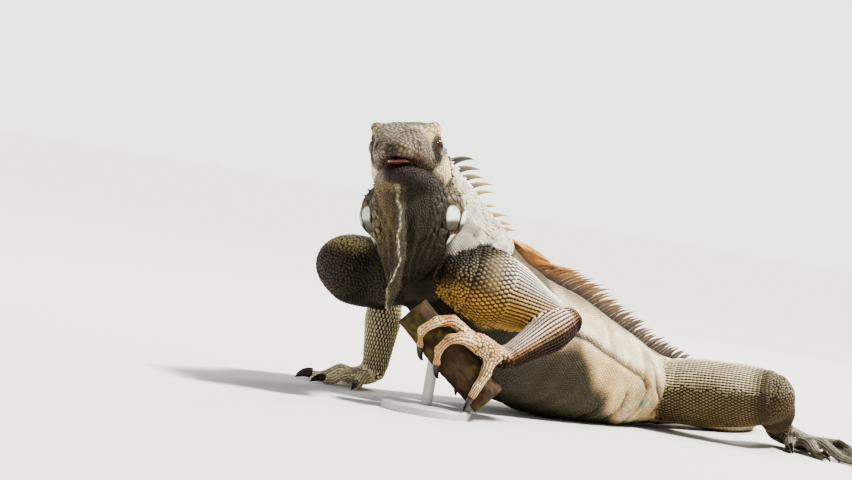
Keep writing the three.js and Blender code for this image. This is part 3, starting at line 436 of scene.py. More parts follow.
def relax(v, e, strength):
    """Moves each vertex some of the way to the mean of its neighbours."""
    total = np.bincount(e.ravel(), minlength=len(v)).astype(float)
    a, b = e[:, 0], e[:, 1]
    out = np.empty_like(v)
    for i in range(v.shape[1]):
        s = np.bincount(a, v[b, i], len(v)) + np.bincount(b, v[a, i], len(v))
        out[:, i] = s / total
    return v + strength[:, None] * (out - v)


def nearest_labels(v):
    """The flesh node each vertex belongs to."""
    best = np.full(len(v), 1e9)
    label = np.zeros(len(v), int)
    reach = 6 * MM
    for name in FLESH:
        nv, nf = node_arrays(name)
        tree = BVHTree.FromPolygons(nv.tolist(), nf.tolist())
        near = ((v > nv.min(0) - reach) & (v < nv.max(0) + reach)).all(1).nonzero()[0]
        for i in near:
            hit = tree.find_nearest(v[i], reach)
            if hit[0] is not None and hit[3] < best[i]:
                best[i] = hit[3]
                label[i] = LABEL[name]
    return label


def normals_of(v, quads):
    n = np.cross(v[quads[:, 2]] - v[quads[:, 0]], v[quads[:, 3]] - v[quads[:, 1]])
    out = np.zeros_like(v)
    for i in range(4):
        for k in range(3):
            out[:, k] += np.bincount(quads[:, i], n[:, k], len(v))
    return unit(out)


mesh0, sv, se = build_skin()
sv, sq, se = biggest_body(mesh0, sv, se)
slabel = nearest_labels(sv)


def kind_of(name):
    """A node's part of the body, without its side or number."""
    if name[-2:] in ("_l", "_r"):
        return name[:-2]
    return "tail" if name.startswith("tail") else name


rounds = np.array([SMOOTH_ROUNDS[kind_of(n)] for n in FLESH], float)[slabel][:, None]
for _ in range(15):
    rounds = relax(rounds, se, np.full(len(sv), 0.5))
rounds = rounds[:, 0]
for k in range(MOST_ROUNDS):
    sv = relax(sv, se, np.clip(rounds - k, 0, 1) * 0.5)
print("skin", len(sv), "vertices")

# ------------------------------------------------------------------ anatomical coordinates of a point

BODY_LINE = spline(BODY, 400)
BODY_ALONG = unit(np.gradient(BODY_LINE, axis=0))
BODY_SIDE = unit(np.cross([0, 0, 1.0], BODY_ALONG))
BODY_TOP = np.cross(BODY_ALONG, BODY_SIDE)
TAIL_LINE = tail_line()
CHUNK, NEAR_CHUNK = 20000, 4000  # points worked out at one time, and where each meets many others


def nearest_on(line, p):
    """Index of the nearest sample of the line to each point."""
    out = np.empty(len(p), int)
    for k in range(0, len(p), CHUNK):
        q = p[k:k + CHUNK]
        d = (q**2).sum(1)[:, None] - 2 * q @ line.T + (line**2).sum(1)[None]
        out[k:k + CHUNK] = d.argmin(1)
    return out


def body_coords(p):
    """Share along the body from the pelvis to the skull, and the angle round it: 0 left, 90 top."""
    i = nearest_on(BODY_LINE, p)
    off = p - BODY_LINE[i]
    angle = np.arctan2((off * BODY_TOP[i]).sum(1), (off * BODY_SIDE[i]).sum(1))
    return i / (len(BODY_LINE) - 1), np.degrees(angle)


wave_rng = np.random.default_rng(3)
# Directions, phases and rates of the waves that the noise is made of.
WAVES = [
    (unit(wave_rng.normal(size=3)), wave_rng.uniform(0, 2 * math.pi), wave_rng.uniform(0.7, 1.4))
    for _ in range(14)
]


def noise(p, size, seed=0):
    """Smooth random field from -1 to 1 over points in mm, with blotches about `size` across."""
    total = np.zeros(len(p))
    for k in range(5):
        way, phase, rate = WAVES[(k + 3 * seed) % len(WAVES)]
        bend = 1.3 * np.sin(p @ WAVES[(k + seed + 5) % len(WAVES)][0] * (2.1 / size) + phase)
        total += np.sin((p @ way) * (rate * 3.1 / size) + phase * (k + 1) + bend)
    return np.clip(total / 3.0, -1, 1)


def is_any(label, *kinds):
    """True where the label is a node of one of these kinds."""
    ids = [LABEL[n] for n in FLESH if kind_of(n) in kinds or n in kinds]
    return np.isin(label, ids)


def limb_coords(p, a, b):
    """Share of the way from a to b, and the distance from that line."""
    a, b = np.asarray(a, float), np.asarray(b, float)
    t = (p - a) @ (b - a) / ((b - a) @ (b - a))
    return t, np.linalg.norm(p - a - np.clip(t, 0, 1)[:, None] * (b - a), axis=1)


def axis_rise(p, a, b):
    """Share of the way from a to b, and how far up each point faces from that line, from -1 to 1."""
    a, b = np.asarray(a, float), np.asarray(b, float)
    t, _ = limb_coords(p, a, b)
    return t, unit(p - (a + np.clip(t, 0, 1)[:, None] * (b - a)))[:, 2]


def oval(*offsets):
    """Length of the offsets taken together, for each point."""
    return np.linalg.norm(np.column_stack(offsets), axis=1)


def eyelid_oval(f, u):
    """1 on the rim of the eyelids, less inside."""
    return oval((f - EYE_AT[0]) / 9.4, (u - EYE_AT[2]) / 7.2)


def near_path(s, angle, path, across):
    """Distance from each point to a path of (share, angle) corners, in mm, at `across` mm a radian."""
    corners = np.asarray(path)
    q = np.column_stack([s * BODY_LENGTH, np.radians(angle) * across])
    c = np.column_stack([corners[:, 0] * BODY_LENGTH, np.radians(corners[:, 1]) * across])
    best = np.full(len(q), 1e9)
    for a, b in zip(c[:-1], c[1:]):
        t = np.clip((q - a) @ (b - a) / ((b - a) @ (b - a)), 0, 1)
        best = np.minimum(best, np.linalg.norm(q - a - t[:, None] * (b - a), axis=1))
    return best


FLANK_ACROSS, GROIN_ACROSS = 46, 42  # mm a radian round the body
# Folds as shares along the body and angles round it.
FLANK_FOLD = [(0.56, 16), (0.454, 17.6), (0.406, 12.9), (0.353, 10.3), (0.281, 6.3), (0.245, -2)]
GROIN_FOLDS = [
    [(0.226, 34), (0.216, 19.5), (0.2, 0), (0.173, -12.6), (0.163, -37)],
    [(0.262, 10), (0.24, -10), (0.232, -30), (0.235, -50)],
    [(0.30, -14), (0.285, -32), (0.29, -52)],
    [(0.35, -26), (0.345, -44), (0.355, -60)],
]


def other_side(angle):
    """The same height on the body's other side."""
    return np.where(angle > 0, 180 - angle, -180 - angle)


def near_groin(s, angle):
    """Distance to the nearest groin fold of either side."""
    gaps = [near_path(s, a, path, GROIN_ACROSS) for path in GROIN_FOLDS for a in (angle, other_side(angle))]
    return np.min(gaps, axis=0)


# ------------------------------------------------------------------ folds, lids and lips

def boundary_distance(v, e, label, first, second, reach):
    """Distance in mm to the line where two sets of labels meet."""
    a, b = label[e[:, 0]], label[e[:, 1]]
    cross = (np.isin(a, first) & np.isin(b, second)) | (np.isin(b, first) & np.isin(a, second))
    seeds = np.unique(e[cross].ravel())
    out = np.full(len(v), 1e3)
    if not len(seeds):
        return out
    seed_v = v[seeds]
    near = ((v > seed_v.min(0) - reach) & (v < seed_v.max(0) + reach)).all(1).nonzero()[0]
    for k in range(0, len(near), NEAR_CHUNK):
        q = v[near[k:k + NEAR_CHUNK]]
        d = np.sqrt(((q[:, None] - seed_v[None]) ** 2).sum(2).min(1))
        out[near[k:k + NEAR_CHUNK]] = d
    return out


def throat_pleat(p, turn):
    """Height share of the throat's hanging pleats, which fork and fade: 1 on a pleat, 0 between two."""
    broad = 1 - np.abs(np.sin(turn * 8.5 + 2.1 * noise(p, 34, 6) + 0.02 * p[:, 2]))
    narrow = 1 - np.abs(np.sin(turn * 19 + 2.6 * noise(p, 26, 9)))
    weight = 0.5 + 0.5 * noise(p, 30, 2)
    return broad * (1 - 0.6 * weight) + 0.6 * narrow * weight


def dewlap_ripple(p, f, u):
    """The dewlap's pleats, from -1 to 1."""
    return np.sin(f * 1.05 + 0.03 * u + 1.2 * noise(p, 26, 9))


def add_neck_fold(d, p, s, angle, neck, trunk, start):
    """The neck's last fold hangs over the shoulders. Returns how strongly, round the body."""
    over = smooth(80, 50, np.abs(angle - 10)) * 0.9 + 0.25
    rise = smooth(start + 0.085, start + 0.012, s) * smooth(start - 0.004, start + 0.004, s)
    d += (neck | trunk) * over * (4.6 * rise - 2.4 * bump(s, start - 0.014, 0.014))
    ripple = np.sin(2 * math.pi * (s - start) / 0.034 + 1.6 * noise(p, 26, 2))
    d += neck * 0.75 * ripple * smooth(85, 55, np.abs(angle))
    d += neck * 0.45 * noise(p, 7, 3)
    return over


def add_flank_folds(d, p, s, angle, trunk):
    """The flank's long crease, the groin folds and soft hanging folds."""
    crease = near_path(s, angle, FLANK_FOLD, FLANK_ACROSS)
    d += trunk * (-2.0 * bump(crease, 0, 2.2) + 0.9 * bump(crease, 5, 3.5))
    for turned, groove, rise in ((angle, 1.9, 1.2), (other_side(angle), 1.6, 1.0)):
        for path in GROIN_FOLDS:
            gap = near_path(s, turned, path, GROIN_ACROSS)
            d += trunk * (-groove * bump(gap, 0, 2.1) + rise * bump(gap, 5.5, 3.6))
    low = smooth(5, -45, angle) * smooth(-170, -130, angle)
    hanging = np.sin(2 * math.pi * s / 0.062 + 1.2 * noise(p, 50, 4))
    d += trunk * low * 0.8 * hanging * smooth(0.12, 0.3, s) * smooth(0.62, 0.5, s)
    d += trunk * 0.25 * noise(p, 9, 5)


def add_throat_pleats(d, p, label, f, l, u):
    """Pleats that hang down the throat, the jaw and the dewlap."""
    pleat = throat_pleat(p, np.arctan2(l, f - 28))
    deep = smooth(-42, -66, u)
    d += is_any(label, "throat") * (1.9 * deep + 0.4) * (pleat - 0.45)
    d += is_any(label, "throat") * 0.55 * noise(p, 6, 7)
    d += is_any(label, "lower_jaw") * smooth(-34, -46, u) * 0.5 * np.sin(l * 0.9 + 0.8 * noise(p, 14, 8))
    rim = smooth(15, 3, dewlap_front(u) - f)
    d += is_any(label, "dewlap") * (0.55 * dewlap_ripple(p, f, u) * (1 - rim) - 0.85 * rim)


def add_head_relief(d, p, label, f, l, u, mouth):
    """The mouth's groove with full lips, and the skull's ridges, hollows and nostrils."""
    on_head, skull = is_any(label, "head", "lower_jaw"), is_any(label, "head")
    wide = np.abs(l)
    d += on_head * smooth(20, 30, f) * (-1.5 * bump(mouth, 0, 1.3) + 0.55 * bump(mouth, 3.0, 1.6))
    ridge = skull * 0.8 * bump(wide, 14.5 - 0.11 * (f - 60), 2.6)
    d += ridge * smooth(52, 66, f) * smooth(96, 84, f) * smooth(-12, -4, u)
    d += skull * -2.4 * bump(f, 66, 6) * bump(wide, 22, 5) * bump(u, -13, 7)
    d += skull * -0.8 * bump(wide, 0, 5.5) * smooth(36, 60, f) * smooth(92, 76, f) * smooth(-8, 0, u)
    ahead, across, up = NOSTRIL_AT
    nostril = oval((f - ahead) / 3.1, (wide - across + 0.6) / 3.2, (u - up) / 2.3)
    d += skull * (1.3 * bump(nostril, 1.35, 0.45) - 2.4 * smooth(1.0, 0.2, nostril))
    d += on_head * 0.22 * noise(p, 5, 10)


def add_limb_creases(d, p, label):
    """Creases at the joints of the arms and legs."""
    for side, (a, b) in ARM.items():
        t, _ = limb_coords(p, a, b)
        ends = smooth(0.82, 0.97, t) + 0.8 * smooth(0.16, -0.02, t)
        d += is_any(label, f"upper_arm_{side}") * (0.55 * np.sin(t * 62) * ends)
        t, _ = limb_coords(p, b, WRIST[side])
        ends = smooth(0.26, 0.1, t) + smooth(0.84, 0.96, t)
        d += is_any(label, f"forearm_{side}") * 0.4 * np.sin(t * 44) * ends
    for side, (hip, knee, ankle, _) in LEG.items():
        t, _ = limb_coords(p, hip, knee)
        ends = smooth(0.84, 0.98, t) + 0.8 * smooth(0.3, 0.16, t)
        d += is_any(label, f"thigh_{side}") * 0.5 * np.sin(t * 60) * ends
        t, _ = limb_coords(p, knee, ankle)
        ends = smooth(0.24, 0.1, t) + smooth(0.8, 0.95, t)
        d += is_any(label, f"shank_{side}") * 0.45 * np.sin(t * 50) * ends


def fold_depth(p, label, e):
    """How far each skin point moves out for its folds, the mouth's distance, the neck's overhang: in mm."""
    d = 0.35 * noise(p, 60) + 0.22 * noise(p, 22, 1)
    s, angle = body_coords(p)
    f, l, u = head_coords(p).T
    neck, trunk = is_any(label, "neck"), is_any(label, "trunk")
    edge = (neck[e[:, 0]] != neck[e[:, 1]]) & (neck | trunk)[e].all(1)
    start = s[e[edge].ravel()].mean()
    mouth = boundary_distance(p, e, label, [LABEL["head"]], [LABEL["lower_jaw"]], 9)
    over = add_neck_fold(d, p, s, angle, neck, trunk, start)
    add_flank_folds(d, p, s, angle, trunk)
    add_throat_pleats(d, p, label, f, l, u)
    add_head_relief(d, p, label, f, l, u, mouth)
    add_limb_creases(d, p, label)
    lip = neck * over * smooth(start + 0.045, start + 0.003, s)
    return d, mouth, start, -NECK_OVERHANG * lip[:, None] * BODY_ALONG[nearest_on(BODY_LINE, p)]


NECK_OVERHANG = 7.0  # mm that the fold's lip reaches back
COAT_DEPTH = 0.55  # mm that the skin lies inside the flesh, so that the scales end at its surface
DIGIT_DEPTH = 0.3  # the same for the hands and feet
FLOOR_CLEAR = 0.35  # mm that the skin stays over the floor

sp = to_body(sv)
fold, mouth_gap, neck_start, overhang = fold_depth(sp, slabel, se)
inset = np.where(is_any(slabel, "hand", "foot"), DIGIT_DEPTH, COAT_DEPTH)
free = (is_any(slabel, "dewlap") * sway(*head_coords(sp)[:, [0, 2]].T))[:, None] * LEFT
sp = sp + normals_of(sv, sq) * (fold - inset)[:, None] + free + overhang
for _ in range(2):
    sp = relax(sp, se, np.full(len(sp), 0.35))
sp[:, 2] = np.maximum(sp[:, 2], FLOOR_CLEAR)
sv = to_row(sp)
snormal = normals_of(sv, sq)
print("folds done")

# ------------------------------------------------------------------ markings and painted shade

def rgb(r, g, b):
    """A colour given as 0 to 255 display values, as linear light."""
    c = np.array([r, g, b]) / 255
    return np.where(c <= 0.04045, c / 12.92, ((c + 0.055) / 1.055) ** 2.4)


def mixed(a, b, w):
    """Colour a with a share w of colour b."""
    w = np.clip(np.asarray(w, float), 0, 1)[..., None]
    return a * (1 - w) + b * w


PALE, WARM_PALE, NECK_PALE = rgb(236, 230, 212), rgb(234, 212, 170), rgb(244, 238, 224)
GREY_BEIGE, SNOUT, BROW, CHEEK = rgb(142, 134, 116), rgb(126, 114, 98), rgb(242, 222, 168), rgb(104, 90, 70)
THROAT, THROAT_DARK = rgb(122, 106, 72), rgb(66, 60, 50)
DEWLAP, DEWLAP_EDGE = rgb(88, 82, 68), rgb(176, 166, 138)
DARK, UMBER, GOLD, OLIVE = rgb(46, 38, 30), rgb(78, 60, 42), rgb(220, 182, 106), rgb(118, 108, 78)
TAN, HAND_DARK, CREAM = rgb(252, 232, 192), rgb(252, 240, 202), rgb(248, 232, 196)
SAND, RUST, MOSS_BROWN = rgb(224, 184, 122), rgb(196, 142, 84), rgb(98, 90, 64)
FLANK, BACK, BELLY_SHADOW = rgb(244, 234, 206), rgb(136, 124, 98), rgb(50, 51, 44)
TURQUOISE, PINK, PURPLE = rgb(92, 168, 164), rgb(104, 58, 54), rgb(44, 33, 36)


def layers(base, *coats):
    """A base colour with coats laid over it, each a colour and its share."""
    for colour, share in coats:
        base = mixed(base, colour, share)
    return base


# Each of these gives a part's colour, with painted shade where marked below, and the colour between its
# scales.

def trunk_colours(p, s, angle, high, blotch, neck_gap):
    bars = smooth(0.45, 0.95, np.sin(s * 2 * math.pi * 8.5 + 1.4 * noise(p, 45, 3)))
    bars = bars * smooth(-0.7, -0.2, high) * smooth(0.95, 0.6, high)
    rise = np.degrees(np.arcsin(np.clip(high, -1, 1)))
    # Painted shadow: the line below which the belly is painted near black.
    shadow_line = np.clip(3 - 250 * (0.47 - s), -52, 3) - 40 * smooth(0.62, 0.7, s)
    low_flank = smooth(-0.95, -0.6, high)
    rust = 0.6 * smooth(0.2, 0.6, noise(p, 6, 8)) * bump(s, 0.235, 0.05) * smooth(0.2, -0.1, high) * low_flank
    fleck = smooth(0.15, 0.45, noise(p, 3.4, 4)) * bump(s, 0.235, 0.055)
    fleck = fleck * smooth(0.25, -0.1, high) * low_flank
    body = layers(
        FLANK,
        (BACK, smooth(0.72, 0.98, high + 0.08 * blotch)),
        (OLIVE, 0.42 * bars),
        (SAND, 0.6 * smooth(0.4, 0.0, high) * smooth(0.62, 0.52, s)),
        (MOSS_BROWN, 0.9 * smooth(0.5, 0.58, s) * smooth(0.45, 0.7, high)),
        (GOLD, 0.75 * smooth(0.62, 0.68, s) * smooth(0.25, -0.35, high)),
        (WARM_PALE, 0.35 * smooth(0.1, 0.7, blotch)),
        # Painted shadow over the belly.
        (BELLY_SHADOW, 0.93 * smooth(9, -11, rise - shadow_line + 6 * blotch)),
        # Painted shade: the chest's underside between the arms is darkened.
        (DARK, 0.8 * smooth(0.6, 0.7, s) * smooth(-0.55, -0.85, high)),
        (RUST, rust),
        (TURQUOISE, 0.75 * fleck),
    )
    # Painted shade: the creases and the skin under the neck's overhanging fold are darkened, on the scales
    # and between them.
    crease = np.minimum(near_path(s, angle, FLANK_FOLD, FLANK_ACROSS), near_groin(s, angle))
    near_elbow = smooth(0.36, 0.5, s)
    neck_fold_shadow = 0.8 * smooth(9, 3, neck_gap)
    between = layers(
        body,
        (DARK, 0.3),
        (DARK, (0.55 + 0.35 * near_elbow) * bump(crease, 0, 2.0 + near_elbow)),
        (DARK, neck_fold_shadow),
    )
    crease_shade = (0.6 + 0.3 * near_elbow) * bump(crease, 0, 1.6 + near_elbow)
    body = layers(body, (DARK, crease_shade), (DARK, neck_fold_shadow))
    return body, between


def neck_colours(angle, high, blotch, grain):
    under = high + 0.45 * smooth(0.1, -0.4, np.cos(np.radians(angle)))
    neck = layers(
        NECK_PALE,
        (GREY_BEIGE, 0.4 * smooth(-0.1, 0.6, grain) + 0.3 * smooth(0, 0.8, blotch)),
        # Painted shade: the neck's underside is painted near black.
        (rgb(34, 29, 24), 0.95 * smooth(-0.15, -0.6, under)),
    )
    return neck, mixed(neck, UMBER, 0.5)


def tail_colours(p, blotch):
    """Bands that grow darker towards the tip."""
    at = nearest_on(TAIL_LINE, p) / (len(TAIL_LINE) - 1)
    band = smooth(-0.15, 0.5, np.sin(at * 2 * math.pi * 11 + 0.5 * blotch))
    tail = mixed(rgb(176, 164, 134), rgb(84, 70, 52), band * (0.5 + 0.45 * at))
    return tail, mixed(tail, DARK, 0.5)


def head_colours(p, f, l, u, grain, mouth):
    wide = np.abs(l)
    brow = (0.2 + 0.6 * smooth(0, 10, l)) * smooth(12, 18, wide) * smooth(-14, -4, u)
    brow = brow * smooth(4.5, 1.0, u) * smooth(28, 44, f) * smooth(82, 66, f)
    socket = oval((f - 57) / 9, (u + 13.6) / 10.5)
    corner = oval((f - 36) / 17, (u + 27) / 10.5) + 0.3 * grain
    nostril = oval(f - NOSTRIL_AT[0], wide - NOSTRIL_AT[1], u - NOSTRIL_AT[2])
    blaze = smooth(5.5, 3, np.abs(l + 3.5)) * smooth(88, 97, f) * smooth(-8, -13, u)
    lips = smooth(7.0, 3.0, mouth) * smooth(60, 84, f)
    head = layers(
        GREY_BEIGE,
        (SNOUT, smooth(70, 92, f) * 0.8),
        (BROW, brow),
        (CHEEK, smooth(-14, -34, u) * smooth(84, 60, f) * 0.8),
        (PALE, 0.5 * smooth(0.1, 0.7, noise(p, 12, 5)) * smooth(-8, 2, u)),
        (UMBER, 0.45 * smooth(0.25, 0.8, noise(p, 9, 6))),
        # Painted shade round the eye: the lids' rim and the socket are darkened.
        (UMBER, 0.75 * smooth(1.35, 0.8, eyelid_oval(f, u)) * smooth(14, 19, wide)),
        (DARK, 0.85 * smooth(1.15, 0.8, socket) * smooth(16, 20, wide)),
        (CREAM, 0.95 * smooth(1.25, 0.6, corner) * smooth(14, 20, wide)),
        # Painted shade in the nostril.
        (DARK, 0.85 * bump(nostril, 0, 2.8)),
        (PURPLE, 0.7 * blaze),
        (PINK, 0.9 * lips),
        # Painted shade along the mouth's groove.
        (UMBER, 0.55 * bump(mouth, 0, 1.6) * smooth(22, 34, f) * smooth(86, 72, f)),
    )
    return head, mixed(head, DARK, 0.5)


def jaw_colours(head, f, l, u, grain):
    """The lower jaw's colours are laid over the head's."""
    jaw = layers(
        head,
        (THROAT, 0.75 * smooth(-30, -40, u)),
        # Painted shade: the lower jaw's left side is painted near black.
        (rgb(35, 32, 29), 0.92 * smooth(-3, 5, l + 3 * grain)),
        (PURPLE, 0.85 * smooth(88, 96, f) * smooth(-24, -28, u) * smooth(13, 8, np.abs(l))),
    )
    return jaw, mixed(jaw, DARK, 0.5)


def throat_colours(p, f, l, u, blotch):
    pleat = throat_pleat(p, np.arctan2(l, f - 28))
    throat = layers(
        THROAT,
        # Painted shade: the throat's left side near black, the pleats' grooves darker, and darker towards the
        # bottom.
        (rgb(38, 37, 32), smooth(-12, 4, l + 6 * blotch) * 0.92),
        (THROAT_DARK, 0.6 * smooth(0.6, 0.05, pleat)),
        (rgb(52, 47, 38), 0.65 * smooth(-66, -96, u)),
    )
    return throat, mixed(throat, DARK, 0.55)


def dewlap_colours(p, f, u):
    front = dewlap_front(u)
    dewlap = layers(
        DEWLAP,
        (THROAT_DARK, 0.6 * smooth(-0.1, 0.7, dewlap_ripple(p, f, u))),
        (DEWLAP_EDGE, 0.8 * smooth(front - 5, front - 1, f)),
        # Painted shade on the dewlap's lower back part.
        (THROAT_DARK, 0.45 * smooth(-80, -120, u) * smooth(front - 4, front - 14, f)),
    )
    return dewlap, mixed(dewlap, DARK, 0.5)


def upper_arm_colours(side, p, blotch, neck_gap):
    t, rise = axis_rise(p, *ARM[side])
    if side == "l":
        net = smooth(0.3, 0.08, t + 0.05 * blotch) * smooth(-0.45, 0.1, rise)
        arm = layers(
            rgb(243, 239, 231),
            (WARM_PALE, smooth(0.5, 0.12, rise)),
            (GOLD, 0.85 * smooth(0.25, -0.3, rise + 0.45 * (t - 0.35))),
            (rgb(100, 66, 40), 0.85 * smooth(0.82, 0.95, t)),
            (rgb(92, 84, 64), 0.8 * net),
        )
        between = layers(
            rgb(70, 54, 38),
            (rgb(112, 82, 40), smooth(0.1, -0.6, rise)),
            (rgb(186, 168, 122), 0.75 * net**3 * smooth(0.0, 0.2, t)),
        )
    else:
        # Painted shade: the right upper arm is dark below its top, as in the head's shadow, and near black
        # between its scales.
        arm = layers(
            rgb(184, 168, 122),
            (rgb(84, 75, 68), smooth(0.78, 0.3, rise + 0.1 * blotch)),
            (rgb(150, 166, 148), 0.7 * smooth(0.9, 0.98, rise)),
        )
        between = mixed(arm, rgb(26, 22, 19), 0.75)
    shade = smooth(18, 7, neck_gap + 2 * blotch) * smooth(-0.5, 0.2, rise)
    return mixed(arm, DARK, 0.8 * shade), mixed(between, DARK, 0.9 * shade)


def forearm_colours(side, p):
    if side == "r":
        return rgb(250, 238, 200), rgb(58, 50, 40)
    t, rise = axis_rise(p, ARM[side][1], WRIST[side])
    fore = layers(
        rgb(243, 235, 224),
        (rgb(196, 138, 78), 0.04 + 0.2 * smooth(0.6, 1, t) + 0.7 * smooth(0.72, 0.4, rise)),
        (rgb(104, 68, 40), 0.85 * smooth(0.17, 0.04, t)),
        # Painted shade: the forearm's underside is painted near black, on the scales and between them.
        (rgb(44, 33, 25), 0.95 * smooth(0.46, 0.05, rise)),
    )
    return fore, mixed(rgb(92, 64, 38), rgb(38, 28, 21), smooth(0.46, 0.05, rise))


def thigh_colours(side, p, blotch):
    t, rise = axis_rise(p, *LEG[side][:2])
    thigh = layers(
        rgb(252, 240, 208),
        # Lighter on top and darker below: partly the thigh's own colour and partly painted shade; the knee's
        # end is painted shade.
        (rgb(164, 150, 120), smooth(0.5, 0.0, rise + 0.1 * blotch)),
        (rgb(146, 128, 95), 0.9 * smooth(0.2, -0.4, rise + 0.2 * smooth(0.9, 0.4, t))),
        (rgb(84, 70, 50), 0.8 * smooth(0.78, 0.95, t)),
    )
    return thigh, rgb(58, 48, 34)


def markings(p, label, mouth, neck_gap):
    """The skin's colour at each point, painted shade included, and the darker colour between its scales."""
    top, gap = np.zeros((2, len(p), 3))
    s, angle = body_coords(p)
    f, l, u = head_coords(p).T
    high = np.sin(np.radians(angle))
    blotch, grain = noise(p, 30, 1), noise(p, 8, 2)

    def paint(part, colour, between):
        where = is_any(label, part)
        top[where] = np.broadcast_to(colour, top.shape)[where]
        gap[where] = np.broadcast_to(between, gap.shape)[where]

    paint("trunk", *trunk_colours(p, s, angle, high, blotch, neck_gap))
    paint("neck", *neck_colours(angle, high, blotch, grain))
    paint("tail", *tail_colours(p, blotch))
    head, between = head_colours(p, f, l, u, grain, mouth)
    paint("head", head, between)
    paint("lower_jaw", *jaw_colours(head, f, l, u, grain))
    paint("throat", *throat_colours(p, f, l, u, blotch))
    paint("dewlap", *dewlap_colours(p, f, u))
    for side in SIDES:
        paint(f"upper_arm_{side}", *upper_arm_colours(side, p, blotch, neck_gap))
        paint(f"forearm_{side}", *forearm_colours(side, p))
        paint(f"thigh_{side}", *thigh_colours(side, p, blotch))
    hand = mixed(TAN, rgb(212, 148, 84), 0.35 + 0.5 * noise(p, 12, 1))
    paint("hand_l", hand, mixed(hand, rgb(84, 52, 30), 0.78))
    hand = mixed(HAND_DARK, rgb(150, 136, 106), smooth(0.1, 0.8, grain) * 0.5)
    paint("hand_r", hand, mixed(hand, DARK, 0.6))
    paint("shank", mixed(rgb(150, 136, 104), rgb(96, 84, 62), smooth(-0.2, 0.5, blotch)), rgb(56, 46, 34))
    foot = mixed(rgb(172, 170, 156), rgb(92, 80, 62), smooth(0.0, 0.8, grain))
    paint("foot", foot, mixed(foot, DARK, 0.6))

    tone = (1 + 0.09 * noise(p, 15, 7) + 0.06 * noise(p, 4, 8))[:, None]
    return np.clip(top * tone, 0, 1), np.clip(gap * tone, 0, 1)


behind_neck = [LABEL["trunk"], LABEL["upper_arm_l"], LABEL["upper_arm_r"]]
neck_gap = boundary_distance(sp, se, slabel, [LABEL["neck"]], behind_neck, 12)
skin_top, skin_gap = markings(sp, slabel, mouth_gap, neck_gap)
print("markings done")

# ------------------------------------------------------------------ materials

def store_markings(mesh, per_vertex):
    """Stores one linear colour for each vertex."""
    layer = mesh.color_attributes.new("markings", "FLOAT_COLOR", "POINT")
    layer.data.foreach_set("color", np.column_stack([per_vertex, np.ones(len(per_vertex))]).ravel())


def shader(name, roughness, specular):
    """A plain material, its node tree and its shader."""
    mat = bpy.data.materials.new(name)
    mat.use_nodes = True
    tree = mat.node_tree
    bsdf = tree.nodes["Principled BSDF"]
    bsdf.inputs["Roughness"].default_value = roughness
    bsdf.inputs["Specular IOR Level"].default_value = specular
    return mat, tree, bsdf


def add(tree, kind, **inputs):
    """A node with its inputs set, and its own settings where the key starts with a line."""
    node = tree.nodes.new(kind)
    for key, value in inputs.items():
        if key.startswith("_"):
            setattr(node, key[1:], value)
        else:
            node.inputs[key.replace("_", " ")].default_value = value
    return node


def noise_node(tree, scale, detail=3.0):
    """Noise in the object's own place."""
    place = add(tree, "ShaderNodeTexCoord")
    node = add(tree, "ShaderNodeTexNoise", Scale=scale, Detail=detail, Roughness=0.55)
    tree.links.new(place.outputs["Object"], node.inputs["Vector"])
    return node


def ramp(tree, source, stops):
    """A colour ramp with its stops as (place, colour)."""
    node = add(tree, "ShaderNodeValToRGB")
    for i, (at, colour) in enumerate(stops):
        stop = node.color_ramp.elements[i] if i < 2 else node.color_ramp.elements.new(at)
        stop.position = at
        stop.color = (*colour, 1)
    tree.links.new(source, node.inputs["Fac"])
    return node


def multiply(tree, a, b):
    node = add(tree, "ShaderNodeMix", _data_type="RGBA", _blend_type="MULTIPLY")
    node.inputs["Factor"].default_value = 1.0
    tree.links.new(a, node.inputs["A"])
    tree.links.new(b, node.inputs["B"])
    return node.outputs["Result"]


def bump_from(tree, bsdf, height, strength, distance):
    node = add(tree, "ShaderNodeBump", Strength=strength, Distance=distance)
    tree.links.new(height, node.inputs["Height"])
    tree.links.new(node.outputs["Normal"], bsdf.inputs["Normal"])


def painted(name, roughness, specular, speckle=900, fine=2600):
    """Horny skin: the stored colours, markings with painted shade, broken up by fine speckle, with a fine
    grain in the surface.
    """
    mat, tree, bsdf = shader(name, roughness, specular)
    colour = add(tree, "ShaderNodeVertexColor", _layer_name="markings")
    spots = noise_node(tree, speckle, 4.0)
    tone = ramp(tree, spots.outputs["Fac"], [(0.3, (0.78, 0.76, 0.72)), (0.65, (1.0, 1.0, 1.0))])
    mottled = multiply(tree, colour.outputs["Color"], tone.outputs["Color"])
    tree.links.new(mottled, bsdf.inputs["Base Color"])
    wear = noise_node(tree, 260)
    rough = add(tree, "ShaderNodeMapRange")
    rough.inputs["To Min"].default_value = max(roughness - 0.12, 0.1)
    rough.inputs["To Max"].default_value = min(roughness + 0.14, 1)
    tree.links.new(wear.outputs["Fac"], rough.inputs["Value"])
    tree.links.new(rough.outputs["Result"], bsdf.inputs["Roughness"])
    bump_from(tree, bsdf, noise_node(tree, fine).outputs["Fac"], 0.35, 0.0003)
    return mat


def finish_piece(obj, material, replaces=()):
    """Gives a piece its material and its place in the part."""
    obj.data.materials.clear()
    obj.data.materials.append(material)
    obj.data.polygons.foreach_set("use_smooth", [True] * len(obj.data.polygons))
    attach(obj, "root")
    if replaces:
        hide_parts(*replaces)
    return obj


skin_material = painted("skin_between_scales", 0.62, 0.3, 700)
scale_material = painted("scale_horn", 0.47, 0.32, 1200)

skin = mesh_object("skin", sv, sq)
store_markings(skin.data, skin_gap)
finish_piece(skin, skin_material, FLESH)

# ------------------------------------------------------------------ where scales grow, and their lie

skin_tree = BVHTree.FromPolygons(sp.tolist(), sq.tolist())
face_label = slabel[sq[:, 0]]
face_normal = unit(snormal[sq].sum(1))
face_mouth = mouth_gap[sq[:, 0]]


